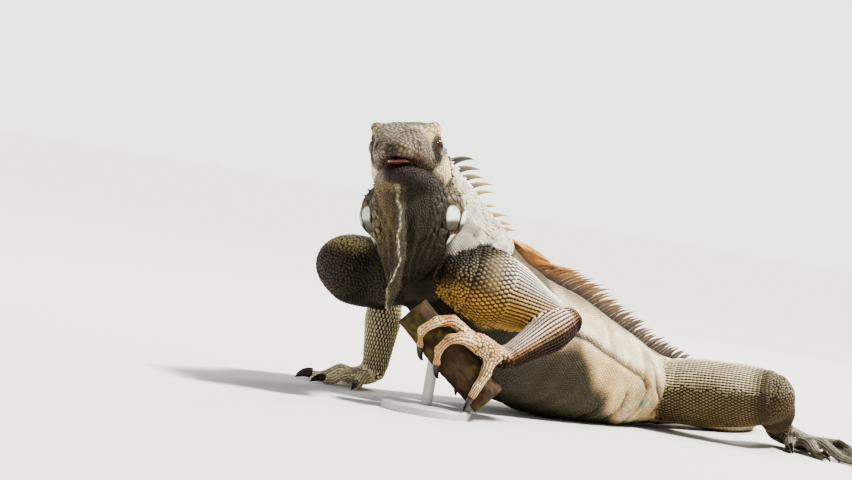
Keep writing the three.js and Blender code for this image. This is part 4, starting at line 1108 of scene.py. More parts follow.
def tube(line, length_labels, up=(0, 0, 1)):
    """A line with axes along it, to its side and to its top, and the nodes that it runs through."""
    along = unit(np.gradient(line, axis=0))
    side = unit(np.cross(np.asarray(up, float), along))
    labels = [LABEL[n] for n in length_labels]
    return dict(line=line, labels=labels, along=along, side=side, top=np.cross(along, side))


def limb_tube(name, start, end, up=(0, 0, 1)):
    TUBES[name] = tube(spline([start, end], 60), [name], up)


TUBES = {
    "body": tube(BODY_LINE[::-1], ["trunk", "neck"]),
    "tail": tube(TAIL_LINE, [f"tail_{i}" for i in range(1, 6)]),
}
LEVEL_UP = (0.02, 1, 0.05)  # a level axis for the right forearm, which stands on end
for side, (a, b) in ARM.items():
    limb_tube(f"upper_arm_{side}", a, b)
    limb_tube(f"forearm_{side}", b, WRIST[side], LEVEL_UP if side == "r" else (0, 0, 1))
for side, (hip, knee, ankle, _) in LEG.items():
    limb_tube(f"thigh_{side}", hip, knee)
    limb_tube(f"shank_{side}", knee, ankle)
for name, paths in PATHS.items():
    for i, path in enumerate(paths):
        up = branch_along if name == "hand_l" else (0, 0, 1)
        TUBES[f"{name}_{i}"] = tube(spline(path, 40), [name], up)

# Cells of the unwrap: left, bottom, width, height of each flesh node's own place in the map.
CELLS = {
    "trunk": (0, 0, 0.54, 0.43), "neck": (0.55, 0, 0.15, 0.43),
    "lower_jaw": (0.71, 0, 0.13, 0.25), "dewlap": (0.85, 0, 0.14, 0.25),
    "upper_arm_l": (0.71, 0.26, 0.14, 0.17), "upper_arm_r": (0.86, 0.26, 0.13, 0.17),
    "tail_1": (0, 0.44, 0.15, 0.22), "tail_2": (0.16, 0.44, 0.21, 0.22), "tail_3": (0.38, 0.44, 0.27, 0.22),
    "head": (0.66, 0.44, 0.16, 0.22), "throat": (0.83, 0.44, 0.16, 0.22),
    "tail_4": (0, 0.67, 0.36, 0.13), "tail_5": (0.37, 0.67, 0.62, 0.13),
}
CELL_MARGIN = 0.004
for i, name in enumerate([n for n in FLESH if n not in CELLS]):
    CELLS[name] = (0.1 * i, 0.81, 0.095, 0.18)


def tube_of(name):
    """The tube that a node's scales are laid along."""
    if name in ("trunk", "neck"):
        return "body"
    return "tail" if name.startswith("tail") else name


def nearest_digit(name, p):
    """The nearest digit's tube of a hand or foot, for each point."""
    lines = [TUBES[f"{name}_{k}"]["line"][None, ::3] for k in range(5)]
    return np.stack([np.sqrt(((p[:, None] - line) ** 2).sum(2).min(1)) for line in lines]).argmin(0)


def tube_coords(t, q):
    """Share along a tube, share of the turn round it, and the tube's way at each point."""
    i = nearest_on(t["line"], q)
    off = q - t["line"][i]
    turn = np.arctan2((off * t["top"][i]).sum(1), (off * t["side"][i]).sum(1)) / (2 * math.pi) + 0.5
    return i / (len(t["line"]) - 1), turn, t["along"][i]


def head_unwrap(name, q):
    """The same for the head's parts, whose scales point back or hang."""
    f, l, u = head_coords(q).T
    if name in ("head", "lower_jaw"):
        return (f + 12) / 120, np.arctan2(u + 28, l) / (2 * math.pi) + 0.5, -0.9 * FORWARD - 0.25 * HEAD_UP
    return (-u - 34) / 100, np.arctan2(l, f - 30) / (2 * math.pi) + 0.5, -HEAD_UP + 0.12 * FORWARD


def digits_unwrap(name, q):
    """The same for a hand or foot, each digit in its own fifth of the turn."""
    digit = nearest_digit(name, q)
    s, turn, way = np.zeros(len(q)), np.zeros(len(q)), np.zeros((len(q), 3))
    for k in range(5):
        mine = digit == k
        if mine.any():
            s0, t0, w0 = tube_coords(TUBES[f"{name}_{k}"], q[mine])
            s[mine], turn[mine], way[mine] = s0, (k + t0) / 5, w0
    return s, turn, way


def tube_unwrap(name, q):
    """The same for a node on one tube, whose length fills its cell."""
    s, turn, way = tube_coords(TUBES[tube_of(name)], q)
    return (s - s.min()) / max(s.max() - s.min(), 1e-6), turn, way


def lie_and_place(label, p):
    """The way scales point at each place, and the place on the skin's own unwrap."""
    lie, place = np.zeros((len(p), 3)), np.zeros((len(p), 2))
    for name in FLESH:
        here = (label == LABEL[name]).nonzero()[0]
        if not len(here):
            continue
        if name in ("head", "lower_jaw", "throat", "dewlap"):
            unwrap = head_unwrap
        else:
            unwrap = digits_unwrap if kind_of(name) in ("hand", "foot") else tube_unwrap
        s, turn, lie[here] = unwrap(name, p[here])
        x, y, w, h = CELLS[name]
        place[here, 0] = x + CELL_MARGIN + (w - 2 * CELL_MARGIN) * np.clip(s, 0, 1)
        place[here, 1] = y + CELL_MARGIN + (h - 2 * CELL_MARGIN) * np.clip(turn, 0, 1)
    return lie, place


# ------------------------------------------------------------------ scales in rows

KEELED, PEBBLE, SCUTE, ROW, CONE = range(5)  # the shapes of scale
ROOTS = []  # each: point, face, length, width, height, shape
BELOW, DOWNWARD = 0.9, -0.8  # mm over the floor and facing, past which no scale grows


def under_it(z, facing):
    """True where the part lies on the floor."""
    return (z < BELOW) & (facing < DOWNWARD)


def cast(origin, way, reach):
    """The skin's point, normal, face and distance along a ray, or None."""
    hit = skin_tree.ray_cast(Vector(origin), Vector(way), reach)
    return hit if hit[0] is not None else None


def cast_point(origin, way, reach):
    hit = cast(origin, way, reach)
    return None if hit is None else np.array(hit[0])


def ring_rows(name, pitch, height, shape, reach, count, share=(0, 1), shift=0.5, stretch=1.3, band=(-1, 1)):
    """Rings of scales round a tube. Each ring is turned by `shift` of a scale from the last, and kept to
    a band of how far up the scales face. The band's inner edges wave along the tube."""
    t = TUBES[name]
    line = t["line"]
    s = np.concatenate([[0], np.cumsum(np.linalg.norm(np.diff(line, axis=0), axis=1))])
    jitter = 0.02 if shape == ROW else 0.06
    for k, at in enumerate(np.arange(s[-1] * share[0], s[-1] * share[1], pitch)):
        i = min(int(np.searchsorted(s, at)), len(line) - 1)
        centre = np.array([np.interp(at, s, line[:, c]) for c in range(3)])
        side, top = t["side"][i], t["top"][i]
        wave = 0.09 * math.sin(0.31 * at) + 0.06 * math.sin(0.83 * at + 1)
        lowest = band[0] + wave * (band[0] > -1) - 1e-9
        highest = band[1] + wave * (band[1] < 1) + 1e-9
        for j in range(count):
            a = 2 * math.pi * (j + (k % 2) * shift + rng.uniform(-1, 1) * jitter) / count
            if not lowest <= math.sin(a) <= highest:
                continue
            hit = cast(centre, side * math.cos(a) + top * math.sin(a), reach)
            if hit is None or face_label[hit[2]] not in t["labels"] or under_it(hit[0].z, hit[1].z):
                continue
            across = 2 * math.pi * hit[3] / count
            ROOTS.append((tuple(hit[0]), hit[2], pitch * stretch, across, height, shape))


# Stretches of the tail: share from and to, scales in a ring, and how far its skin is looked for.
TAIL_STRETCHES = [
    (0, 0.1, 50, 36), (0.1, 0.24, 44, 32), (0.24, 0.42, 34, 26),
    (0.42, 0.66, 26, 20), (0.66, 0.86, 16, 13), (0.86, 1, 10, 8),
]
ring_rows("body", 2.15, 0.50, KEELED, 66, 138)
for lo, hi, count, reach in TAIL_STRETCHES:
    shift = 0.0 if lo > 0.1 else 0.5
    ring_rows("tail", 3.3 if lo < 0.6 else 2.9, 0.75, ROW, reach, count, (lo, hi), shift, 1.2)
ring_rows("upper_arm_l", 3.2, 0.75, KEELED, 42, 42, (0, 0.36))
ring_rows("upper_arm_l", 2.7, 0.8, ROW, 42, 48, (0.36, 1), 0.0)
ring_rows("upper_arm_r", 2.0, 0.55, KEELED, 42, 66)
for side in SIDES:
    if side == "l":
        ring_rows("forearm_l", 3.0, 0.85, ROW, 24, 28, shift=0.0, stretch=1.5)
    else:
        ring_rows("forearm_r", 3.0, 0.85, KEELED, 24, 30)
    ring_rows(f"thigh_{side}", 2.9, 0.65, ROW, 42, 70, (0.05, 1), 0.0, 1.25, (0.12, 1))
    ring_rows(f"thigh_{side}", 2.5, 0.65, KEELED, 42, 62, (0.05, 1), 0.5, 1.2, (-1, 0.16))
    ring_rows(f"shank_{side}", 2.4, 0.7, KEELED, 27, 34)
for name in PATHS:
    for k in range(5):
        ring_rows(f"{name}_{k}", 2.6, 0.5, SCUTE, 7.6, 10, (0.1, 1.0), 0.0, 1.12)
print("rows", len(ROOTS))

# ------------------------------------------------------------------ scattered scales

def spacing(label, p, mouth):
    """How far apart scattered scales are at each place, in mm."""
    f, l, u = head_coords(p).T
    gap = np.where(is_any(label, "upper_arm", "thigh"), 1.85, 2.1)
    head = 2.1 + 0.9 * smooth(-8, 0, u) * smooth(24, 34, f) + 0.6 * smooth(80, 94, f)
    head = np.where((eyelid_oval(f, u) < 1.5) & (np.abs(l) > 14), 1.3, head)
    head = np.where((mouth < 4) & (f > 70), 1.5, head)
    from_shield = oval(f - SHIELD_AT[0] - 11, np.abs(l) - SHIELD_AT[1] + 4, u - SHIELD_AT[2] - 4)
    jowl = 1.9 + 3.3 * smooth(27, 17, from_shield) * smooth(14, 22, f)
    head = np.where(u < -26, jowl, head)
    gap = np.where(is_any(label, "head"), head, gap)
    gap = np.where(is_any(label, "lower_jaw"), np.where(from_shield < 34, jowl, 2.0), gap)
    gap = np.where(is_any(label, "throat"), np.maximum(1.5, jowl * smooth(30, 20, from_shield)), gap)
    gap = np.where(is_any(label, "dewlap"), 1.6, gap)
    gap = np.where(is_any(label, "hand", "foot"), 1.75, gap)
    return gap


CELL = 2.6  # mm, the side of a box of the grid that neighbours are looked up in


def cell_of(q):
    return int(q[0] // CELL), int(q[1] // CELL), int(q[2] // CELL)


def crowded(grid, q, gap):
    """True where something kept is nearer than the mean of its gap and this one."""
    cx, cy, cz = cell_of(q)
    reach = 1 if gap <= CELL else 2
    for x in range(cx - reach, cx + reach + 1):
        for y in range(cy - reach, cy + reach + 1):
            for z in range(cz - reach, cz + reach + 1):
                for a, b, c, other in grid.get((x, y, z), ()):
                    near = 0.5 * (gap + other)
                    if (q[0] - a) ** 2 + (q[1] - b) ** 2 + (q[2] - c) ** 2 < near * near:
                        return True
    return False


def scatter(candidates, gaps, taken=(), taken_gaps=()):
    """Indices of the candidates that keep their gap from each other and from what is taken."""
    grid, kept = {}, []
    for q, gap in zip(taken, taken_gaps):
        grid.setdefault(cell_of(q), []).append((*q, gap))
    for i, (q, gap) in enumerate(zip(candidates.tolist(), gaps.tolist())):
        if not crowded(grid, q, gap):
            kept.append(i)
            grid.setdefault(cell_of(q), []).append((*q, gap))
    return kept


def eye_distance(p):
    """Distance to the nearer eye's centre."""
    eyes = [head_point(EYE_AT[0], s * EYE_AT[1], EYE_AT[2]) for s in SIDES.values()]
    return np.min([np.linalg.norm(p - eye, axis=1) for eye in eyes], axis=0)


row_points = np.array([r[0] for r in ROOTS])
row_gap = np.array([min(r[2], r[3]) * 0.82 for r in ROOTS])
on_head = is_any(face_label, "head", "lower_jaw", "throat", "dewlap")
tries = np.where(on_head, 5, 2)  # candidates on each of the skin's faces
tries[is_any(face_label, "tail")] = 1
order = rng.permutation(np.repeat(np.arange(len(sq)), tries))
x, y = rng.uniform(0, 1, (len(order), 2)).T[:, :, None]
quad = sp[sq[order]]
points = (1 - x) * (1 - y) * quad[:, 0] + x * (1 - y) * quad[:, 1]
points = points + x * y * quad[:, 2] + (1 - x) * y * quad[:, 3]
off_floor = (points[:, 2] > BELOW) | (face_normal[order][:, 2] > DOWNWARD)
open_air = off_floor & (eye_distance(points) > EYE_RADIUS + 0.45)
order, points = order[open_air], points[open_air]
gaps = spacing(face_label[order], points, face_mouth[order])
kept = scatter(points, gaps, row_points, row_gap)

# rough cones on the neck's top and the back of the head
neck_at, neck_angle = body_coords(points)
rough = is_any(face_label[order], "neck") & (np.abs(neck_angle - 90) < 82) & (neck_at > neck_start + 0.015)
ahead, _, up = head_coords(points).T
rough |= is_any(face_label[order], "head") & (ahead < 22) & (up > -46)
spots = rough.nonzero()[0]
spots = spots[rng.uniform(size=len(spots)) < 0.5]
for i in scatter(points[spots], rng.uniform(3.4, 6.5, len(spots))):
    size = rng.uniform(0.9, 1.7)
    ROOTS.append((tuple(points[spots[i]]), order[spots[i]], 2.3 * size, 1.6 * size, 1.5 * size, CONE))
for i in kept:
    gap = gaps[i]
    high = (0.24 if on_head[order[i]] else 0.45) + 0.05 * gap
    ROOTS.append((tuple(points[i]), order[i], gap * 1.12, gap * 1.05, high, PEBBLE))

# ------------------------------------------------------------------ the coat: solid scales

# Each outline runs round the scale from its front, in shares of its length and width.
LOZENGE = np.array([(-0.5, 0), (-0.2, -0.5), (0.25, -0.42), (0.55, 0), (0.25, 0.42), (-0.2, 0.5)])
PLATE = np.array([(-0.5, 0.41), (-0.5, -0.41), (0.05, -0.455), (0.52, -0.39), (0.52, 0.39), (0.05, 0.455)])
KEEL_FACES = [(0, 1, 6), (1, 2, 7), (1, 7, 6), (2, 3, 7), (3, 4, 7), (4, 5, 6), (4, 6, 7), (5, 0, 6)]
ROW_FACES = [(0, 1, 6), (1, 2, 6), (2, 7, 6), (2, 3, 7), (3, 4, 7), (4, 5, 7), (5, 6, 7), (5, 0, 6)]
RIDGED = {  # outline, height of each outline corner, the keel's two points as length and height, faces
    KEELED: (LOZENGE, [0.0, 0.0, 0.12, 0.34, 0.12, 0.0], [(-0.15, 0.82), (0.36, 1.0)], KEEL_FACES),
    ROW: (PLATE, [0.0, 0.0, 0.05, 0.28, 0.28, 0.05], [(-0.32, 0.72), (0.44, 1.0)], ROW_FACES),
    CONE: (LOZENGE, [0.0] * 6, [(0.1, 0.7), (0.62, 1.0)], KEEL_FACES),
}
RIDGED[SCUTE] = RIDGED[ROW]
# Share of the scale's own colour at each corner: rows of plates are dark only between the rows.
KEEL_SHADE = np.array([0.12, 0.12, 0.3, 0.55, 0.3, 0.12, 0.9, 1.0])
ROW_SHADE = np.array([0.5, 0.5, 0.34, 0.5, 0.5, 0.34, 1.0, 1.0])
SIX_UNDER = [(0, 5, 4), (0, 4, 3), (0, 3, 2), (0, 2, 1)]
PLATE_SIDES = 8
SINK = 0.3  # mm that a scale's underside lies below the skin
SCALE_CLEAR = 0.05  # mm that a scale stays over the floor
PATCH = 0.003  # share of the map that one scale takes

root_at = np.array([r[0] for r in ROOTS])
root_face = np.array([r[1] for r in ROOTS])
root_size = np.array([r[2:5] for r in ROOTS])
root_shape = np.array([r[5] for r in ROOTS])
root_label = face_label[root_face]
root_normal = unit(unit(snormal[sq[root_face]].mean(1)) * 0.6 + face_normal[root_face])
root_lie, root_place = lie_and_place(root_label, root_at)
root_way = unit(root_lie - (root_lie * root_normal).sum(1, keepdims=True) * root_normal)
root_side = np.cross(root_normal, root_way)
root_tone = 1 + rng.normal(0, 0.055, (len(ROOTS), 1)) + rng.normal(0, 0.012, (len(ROOTS), 3))
root_top = np.clip(skin_top[sq[root_face]].mean(1) * root_tone, 0, 1)
root_gap = np.clip(skin_gap[sq[root_face]].mean(1) * root_tone, 0, 1)


def plate_reach(ids):
    """How far each scattered plate reaches in each of its directions before it meets its neighbours."""
    tree = KDTree(len(root_at))
    for i, q in enumerate(root_at):
        tree.insert(q, i)
    tree.balance()
    around = 2 * math.pi * np.arange(PLATE_SIDES) / PLATE_SIDES
    reach = np.empty((len(ids), PLATE_SIDES))
    own = root_size[:, :2].min(1)
    for row, i in enumerate(ids):
        near = [j for _, j, far in tree.find_n(root_at[i], 16) if far < 2.2 * own[i] + 1 and j != i]
        out = np.full(PLATE_SIDES, own[i] * 0.72)
        if near:
            off = root_at[near] - root_at[i]
            flat = np.stack([off @ root_way[i], off @ root_side[i]], 1)
            length = np.maximum(np.linalg.norm(flat, axis=1), 0.3)
            share = own[i] / (own[i] + own[near])
            way = np.stack([np.cos(around), np.sin(around)], 1) @ flat.T
            edge = np.where(way > 0.05 * length, share * length**2 / np.maximum(way, 1e-6), 1e3)
            out = np.minimum(out, edge.min(1))
        reach[row] = np.maximum(out * 0.95, own[i] * 0.2)
    return reach, around


def plate_arrays(ids):
    """Low round-topped plates that fill the room between their neighbours."""
    reach, around = plate_reach(ids)
    n = PLATE_SIDES
    x, y = reach * np.cos(around), reach * np.sin(around)
    h = root_size[ids, 2][:, None]
    local = np.concatenate([
        np.stack([x, y, np.full_like(x, -SINK)], 2),
        np.stack([x * 0.84, y * 0.84, np.broadcast_to(0.62 * h, x.shape)], 2),
        np.stack([x.mean(1, keepdims=True) * 0.4, y.mean(1, keepdims=True) * 0.4, h], 2),
    ], 1)
    faces = []
    for k in range(n):
        j = (k + 1) % n
        faces += [(k, j, n + j), (k, n + j, n + k), (n + k, n + j, 2 * n)]
    faces += [(0, k + 1, k) for k in range(1, n - 1)]
    shade = np.concatenate([np.zeros(n), np.full(n, 0.84), [1.0]])
    return local, np.array(faces), shade


def ridged_arrays(ids, shape):
    """Scales with a keel or a raised back edge."""
    outline, lift, keel, faces = RIDGED[shape]
    lift, keel = np.array(lift), np.array(keel)
    l, w, h = root_size[ids][:, :, None].transpose(1, 0, 2)
    edge = np.stack([outline[:, 0] * l, outline[:, 1] * w * 1.02, lift * h - SINK * (lift < 0.2)], 2)
    crest = np.stack([keel[:, 0] * l, 0 * l + [0, 0], keel[:, 1] * h], 2)
    shade = KEEL_SHADE if shape == KEELED else ROW_SHADE
    return np.concatenate([edge, crest], 1), np.array(faces + SIX_UNDER), shade


def coat_piece(name, labels):
    """One joined mesh of every scale that grows on the given nodes."""
    here = np.isin(root_label, [LABEL[n] for n in labels])
    verts, faces, colours, maps, count = [], [], [], [], 0
    for shape in (KEELED, PEBBLE, SCUTE, ROW, CONE):
        ids = (here & (root_shape == shape)).nonzero()[0]
        if not len(ids):
            continue
        local, f, shade = plate_arrays(ids) if shape == PEBBLE else ridged_arrays(ids, shape)
        m = local.shape[1]
        axes = np.stack([root_way[ids], root_side[ids], root_normal[ids]], 1)
        p = root_at[ids][:, None] + np.einsum("nij,njk->nik", local, axes)
        p[..., 2] = np.maximum(p[..., 2], SCALE_CLEAR)
        own = shade[None, :, None]
        c = root_gap[ids][:, None] * (1 - own) + root_top[ids][:, None] * own
        spread = np.abs(local[..., :2]).reshape(len(ids), -1).max(1)[:, None, None]
        uv = root_place[ids][:, None] + local[..., :2] / spread * PATCH / 2
        verts.append(p.reshape(-1, 3))
        colours.append(c.reshape(-1, 3))
        maps.append(uv.reshape(-1, 2))
        faces.append((f[None] + (count + m * np.arange(len(ids)))[:, None, None]).reshape(-1, 3))
        count += m * len(ids)
    faces = np.vstack(faces)
    piece = mesh_object(name, to_row(np.vstack(verts)), faces)
    store_markings(piece.data, np.vstack(colours))
    layer = piece.data.uv_layers.new(name="OFBake")
    layer.data.foreach_set("uv", np.vstack(maps)[faces.ravel()].ravel())
    print(name, len(faces), "triangles")
    return finish_piece(piece, scale_material)


COATS = {
    "coat_trunk": (["trunk"], "skin"),
    "coat_neck": (["neck"], "skin"),
    "coat_head": (["head", "lower_jaw"], "skin"),
    "coat_throat": (["throat", "dewlap"], "throat"),
    "coat_tail": ([n for n in FLESH if n.startswith("tail")], "skin"),
    "coat_arms": ([f"{n}_{s}" for n in ("upper_arm", "forearm", "hand") for s in SIDES], "arm"),
    "coat_legs": ([f"{n}_{s}" for n in ("thigh", "shank", "foot") for s in SIDES], "skin"),
}
for name, (labels, slot) in COATS.items():
    coat_piece(name, labels)

# ------------------------------------------------------------------ separate parts: helpers

def join_arrays(parts):
    """Joins (vertices, faces, colours) triples into one."""
    verts, faces, colours, count = [], [], [], 0
    for v, f, c in parts:
        verts.append(v)
        faces.append(f + count)
        colours.append(c)
        count += len(v)
    return np.vstack(verts), np.vstack(faces), np.vstack(colours)


def coloured_piece(name, parts, material, replaces):
    """A separate part joined from coloured arrays."""
    v, f, c = join_arrays(parts)
    piece = mesh_object(name, v, f)
    store_markings(piece.data, np.clip(c, 0, 1))
    return finish_piece(piece, material, replaces)


def horn(line, across, wide, thick, sides=6):
    """A tapering horny blade along a line in mm: `wide` in the line's own plane, `thick` across it."""
    line = np.asarray(line, float)
    along = unit(np.gradient(line, axis=0))
    across = unit(across - (along * across).sum(1, keepdims=True) * along)
    flat = np.cross(along, across)
    a = np.linspace(0, 2 * math.pi, sides, endpoint=False)
    n = len(line) - 1
    ring = (line[:n, None] + np.asarray(wide)[:n, None, None] * np.cos(a)[None, :, None] * flat[:n, None]
            + np.asarray(thick)[:n, None, None] * np.sin(a)[None, :, None] * across[:n, None])
    v = np.vstack([ring.reshape(-1, 3), line[:1], line[-1:]])
    share = np.concatenate([np.repeat(np.arange(n) / n, sides), [0, 1]])
    return to_row(v), np.array(tube_faces(n, sides)), share


CROWN_REACH = 110  # mm over a middle line, from where the skin is looked for


def skin_crown(centre, top):
    """The skin's highest point over a centre, looking down along `top`, or None."""
    return cast_point(centre + top * CROWN_REACH, -top, CROWN_REACH)


# ------------------------------------------------------------------ crest

KNOTS = nearest_on(BODY_LINE, BODY) / (len(BODY_LINE) - 1)
TAIL_ALONG = unit(np.gradient(TAIL_LINE, axis=0))
SPINE_ROOT = 2.2  # mm that a spine's root lies below the skin


def body_share(t):
    """Share of the body line at a share of its control points."""
    return np.interp(np.asarray(t) * (len(BODY) - 1), np.arange(len(BODY)), KNOTS)


def crest(name, count, place, tall, wide, curve, tones, replaces, jitter=0.07):
    """A row of thin horny spines that curve back: `place(share)` gives the crown and its axes."""
    places, ends, foot_tone = tones
    parts, ridge = [], []
    for k in range(count):
        share = k / (count - 1)
        spot = place(share)
        if spot is None:
            continue
        crown, up, back, across = spot
        h = np.interp(share, *tall) * (1 + rng.normal(0, jitter))
        w = np.interp(share, *wide)
        t = np.linspace(0, 1, 9)[:, None]
        lean = curve * (1 + rng.normal(0, 0.08))
        sideways = across * h * rng.normal(0, 0.035) * t**2
        rise = up * (h + SPINE_ROOT) * (t - 0.16 * t**2)
        line = crown - up * SPINE_ROOT + rise + back * h * lean * (0.35 * t + 0.65 * t**2.1) + sideways
        t = t[:, 0]
        size = 1 - t**1.7
        wide_along = w * size * (1 + 0.35 * bump(t, 0, 0.2))
        v, f, at = horn(line, across, wide_along, (0.28 + 0.17 * w) * size + 0.05)
        base, tip = (
            np.array([np.interp(share, places, [pair[j][i] for pair in ends]) for i in range(3)])
            for j in (0, 1)
        )
        tone = 1 + rng.normal(0, 0.08)
        parts.append((v, f, mixed(base * tone, tip * tone, smooth(0.1, 0.9, at))))
        ridge.append(crown - up * 0.6)
    foot, f = rope_arrays(spline(np.array(ridge)[::2], len(ridge) * 2), 1.25, 8, 1.2)
    parts.append((foot, f, np.tile(foot_tone, (len(foot), 1))))
    return coloured_piece(name, parts, crest_material, replaces)


def back_place(first, last):
    """Places along the back between two shares of the body line's control points."""
    start, end = body_share(first), body_share(last)

    def place(share):
        i = int(round((start + (end - start) * share) * (len(BODY_LINE) - 1)))
        crown = skin_crown(BODY_LINE[i], BODY_TOP[i])
        return None if crown is None else (crown, BODY_TOP[i], -BODY_ALONG[i], BODY_SIDE[i])

    return place


def tail_place(share):
    """Places along the front half of the tail."""
    i = int(round((0.004 + 0.5 * share) * (len(TAIL_LINE) - 1)))
    along, up = TAIL_ALONG[i], np.array([0, 0, 1.0])
    crown = skin_crown(TAIL_LINE[i], up)
    return None if crown is None else (crown, up, along, unit(np.cross(up, along)))


crest_material = painted("crest_horn", 0.42, 0.5, 420, 1500)
crest_bsdf = crest_material.node_tree.nodes["Principled BSDF"]
crest_bsdf.inputs["Subsurface Weight"].default_value = 0.12
crest_bsdf.inputs["Subsurface Radius"].default_value = (0.004, 0.002, 0.001)
crest_bsdf.inputs["Subsurface Scale"].default_value = 0.6
# Places along each crest, the colours of a spine's base and tip at them, and the colour of the ridge.
BACK_TONES = ([0, 0.14, 0.26, 0.42, 0.62, 0.8, 1], [
    (rgb(84, 54, 30), rgb(226, 170, 104)),
    (rgb(86, 52, 28), rgb(222, 154, 84)),
    (rgb(66, 46, 30), rgb(176, 124, 72)),
    (rgb(56, 43, 30), rgb(144, 108, 68)),
    (rgb(50, 41, 31), rgb(122, 98, 68)),
    (rgb(48, 40, 33), rgb(112, 90, 72)),
    (rgb(52, 45, 37), rgb(104, 92, 74)),
], rgb(72, 62, 48))
# The nape spines are painted dark next to the head, as shade, and paler further back, as lit.
NAPE_TONES = ([0, 0.35, 0.6, 1], [
    (rgb(38, 36, 32), rgb(76, 72, 62)),
    (rgb(104, 98, 70), rgb(178, 168, 118)),
    (rgb(150, 140, 98), rgb(204, 190, 134)),
    (rgb(168, 140, 104), rgb(210, 184, 140)),
], rgb(176, 168, 146))
TAIL_TONES = ([0, 1], [
    (rgb(96, 84, 66), rgb(140, 126, 98)),
    (rgb(84, 70, 52), rgb(120, 104, 78)),
], rgb(150, 138, 110))
crest("crest_back_spines", 70, back_place(0.652, 0.03), ([0, 0.08, 0.3, 0.6, 1], [18, 25, 23, 18, 11]),
      ([0, 0.2, 0.4, 1], [2.0, 2.3, 2.5, 2.3]), 1.3, BACK_TONES, ["crest_back"])
crest("crest_nape_spines", 9, back_place(0.843, 0.675), ([0, 0.3, 0.7, 1], [27, 26, 21, 17]),
      ([0, 0.25, 0.5, 1], [3.2, 2.8, 2.0, 2.5]), 0.55, NAPE_TONES, ["crest_neck"], 0.12)
crest("crest_tail_spines", 86, tail_place, ([0, 0.3, 0.8, 1], [8, 5.4, 2.4, 1.4]),
      ([0, 1], [2.3, 1.5]), 0.9, TAIL_TONES, ["crest_tail"])

# ------------------------------------------------------------------ eyes and ears

eye_material = painted("eye_wet", 0.08, 0.6, 1500, 4000)
eye_bsdf = eye_material.node_tree.nodes["Principled BSDF"]
for link in list(eye_bsdf.inputs["Normal"].links) + list(eye_bsdf.inputs["Roughness"].links):
    eye_material.node_tree.links.remove(link)
eye_bsdf.inputs["Roughness"].default_value = 0.08
eye_bsdf.inputs["Coat Weight"].default_value = 0.4
eye_bsdf.inputs["Coat Roughness"].default_value = 0.03

EAR_SIZE = np.array([4.4, 1.5, 6.2])  # mm, half sizes of the eardrum


def eyeball(name, side):
    """A dark brown eye that looks to the side and a little ahead, with a round pupil."""
    gaze = unit(LEFT * side * 0.93 + FORWARD * 0.33 + HEAD_UP * 0.02)
    flat = unit(np.cross(HEAD_UP, gaze))
    axes = np.stack([flat, np.cross(gaze, flat), gaze])
    centre = head_point(EYE_AT[0], side * EYE_AT[1], EYE_AT[2])
    v, f = ball_arrays(centre, np.full(3, EYE_RADIUS - 0.15), axes, 44, 40)
    way = unit(to_body(v) - centre)
    off = np.degrees(np.arccos(np.clip(way @ gaze, -1, 1)))
    tone = layers(
        rgb(66, 42, 24),
        (rgb(38, 25, 16), 0.5 + 0.5 * noise(way * 30, 3, 2)),
        (rgb(112, 78, 40), smooth(26, 20, off) * 0.5),
        (rgb(10, 8, 7), smooth(20.5, 18, off)),
        (rgb(34, 24, 18), smooth(40, 46, off)),
    )
    coloured_piece(f"eyeball_{name}", [(v, f, tone)], eye_material, [f"eye_{name}"])


def eardrum(name, side):
    at = np.array([EAR_AT[0], side * EAR_AT[1], EAR_AT[2]])
    v, f = ball_arrays(head_point(*at), EAR_SIZE, HEAD_AXES, 16, 24)
    ahead, _, up = ((head_coords(to_body(v)) - at) / EAR_SIZE).T
    ring = oval(ahead, up)
    tone = layers(
        rgb(150, 136, 112),
        (rgb(112, 96, 78), smooth(0.2, 0.7, ring)),
        (rgb(60, 48, 38), smooth(0.8, 1.0, ring)),
    )
    membrane = painted(f"ear_membrane_{name}", 0.4, 0.4)
    coloured_piece(f"eardrum_{name}", [(v, f, tone)], membrane, [f"ear_{name}"])


for name, side in SIDES.items():
    eyeball(name, side)
    eardrum(name, side)

# ------------------------------------------------------------------ tongue

tongue_material = painted("tongue_wet", 0.25, 0.5, 800, 3000)
v, f = ball_arrays(head_point(91, 0, -23.2), np.array([13.5, 7.3, 2.9]), HEAD_AXES, 20, 32)
p = head_coords(to_body(v))
groove = 0.9 * bump(p[:, 1], 0, 1.3) * smooth(-23.5, -21, p[:, 2])
v = to_row(to_body(v) - HEAD_UP * groove[:, None])
tone = layers(
    rgb(118, 76, 70),
    (rgb(92, 56, 50), 0.5 + 0.5 * noise(p, 4, 3)),
    # Painted shade: the tongue is darker towards the back, inside the mouth.
    (rgb(54, 26, 28), smooth(99, 90, p[:, 0])),
)
coloured_piece("tongue_tip", [(v, f, tone)], tongue_material, ["tongue"])

# ------------------------------------------------------------------ jowl shields

shield_material = painted("shield_scale", 0.46, 0.28, 500, 1600)


def dome_arrays(centre, ahead, out, half_a, half_u, high):
    """A low square-cornered dome, sunk a little below its rim."""
    steps, sides = 14, 48
    up = np.cross(out, ahead)
    up = up if up @ HEAD_UP > 0 else -up
    a = np.linspace(0, 2 * math.pi, sides, endpoint=False)
    across, along = (np.sign(x) * np.abs(x) ** 0.86 for x in (np.cos(a)[:, None], np.sin(a)[:, None]))
    reach = np.linspace(0.04, 1, steps)
    rows = [
        centre + half_a * r * across * ahead + half_u * r * along * up + out * high * (1 - r**3.2) ** 0.6
        for r in reach
    ]
    rows.append(rows[-1] - out * 2.4)
    share = np.concatenate([np.repeat(reach, sides), np.ones(sides), [0, 1]])
    v = np.vstack(rows + [rows[0].mean(0)[None], rows[-1].mean(0)[None]])
    f = np.array(tube_faces(len(rows), sides, turned=True))
    return v, f if np.cross(ahead, up) @ out > 0 else f[:, ::-1], share


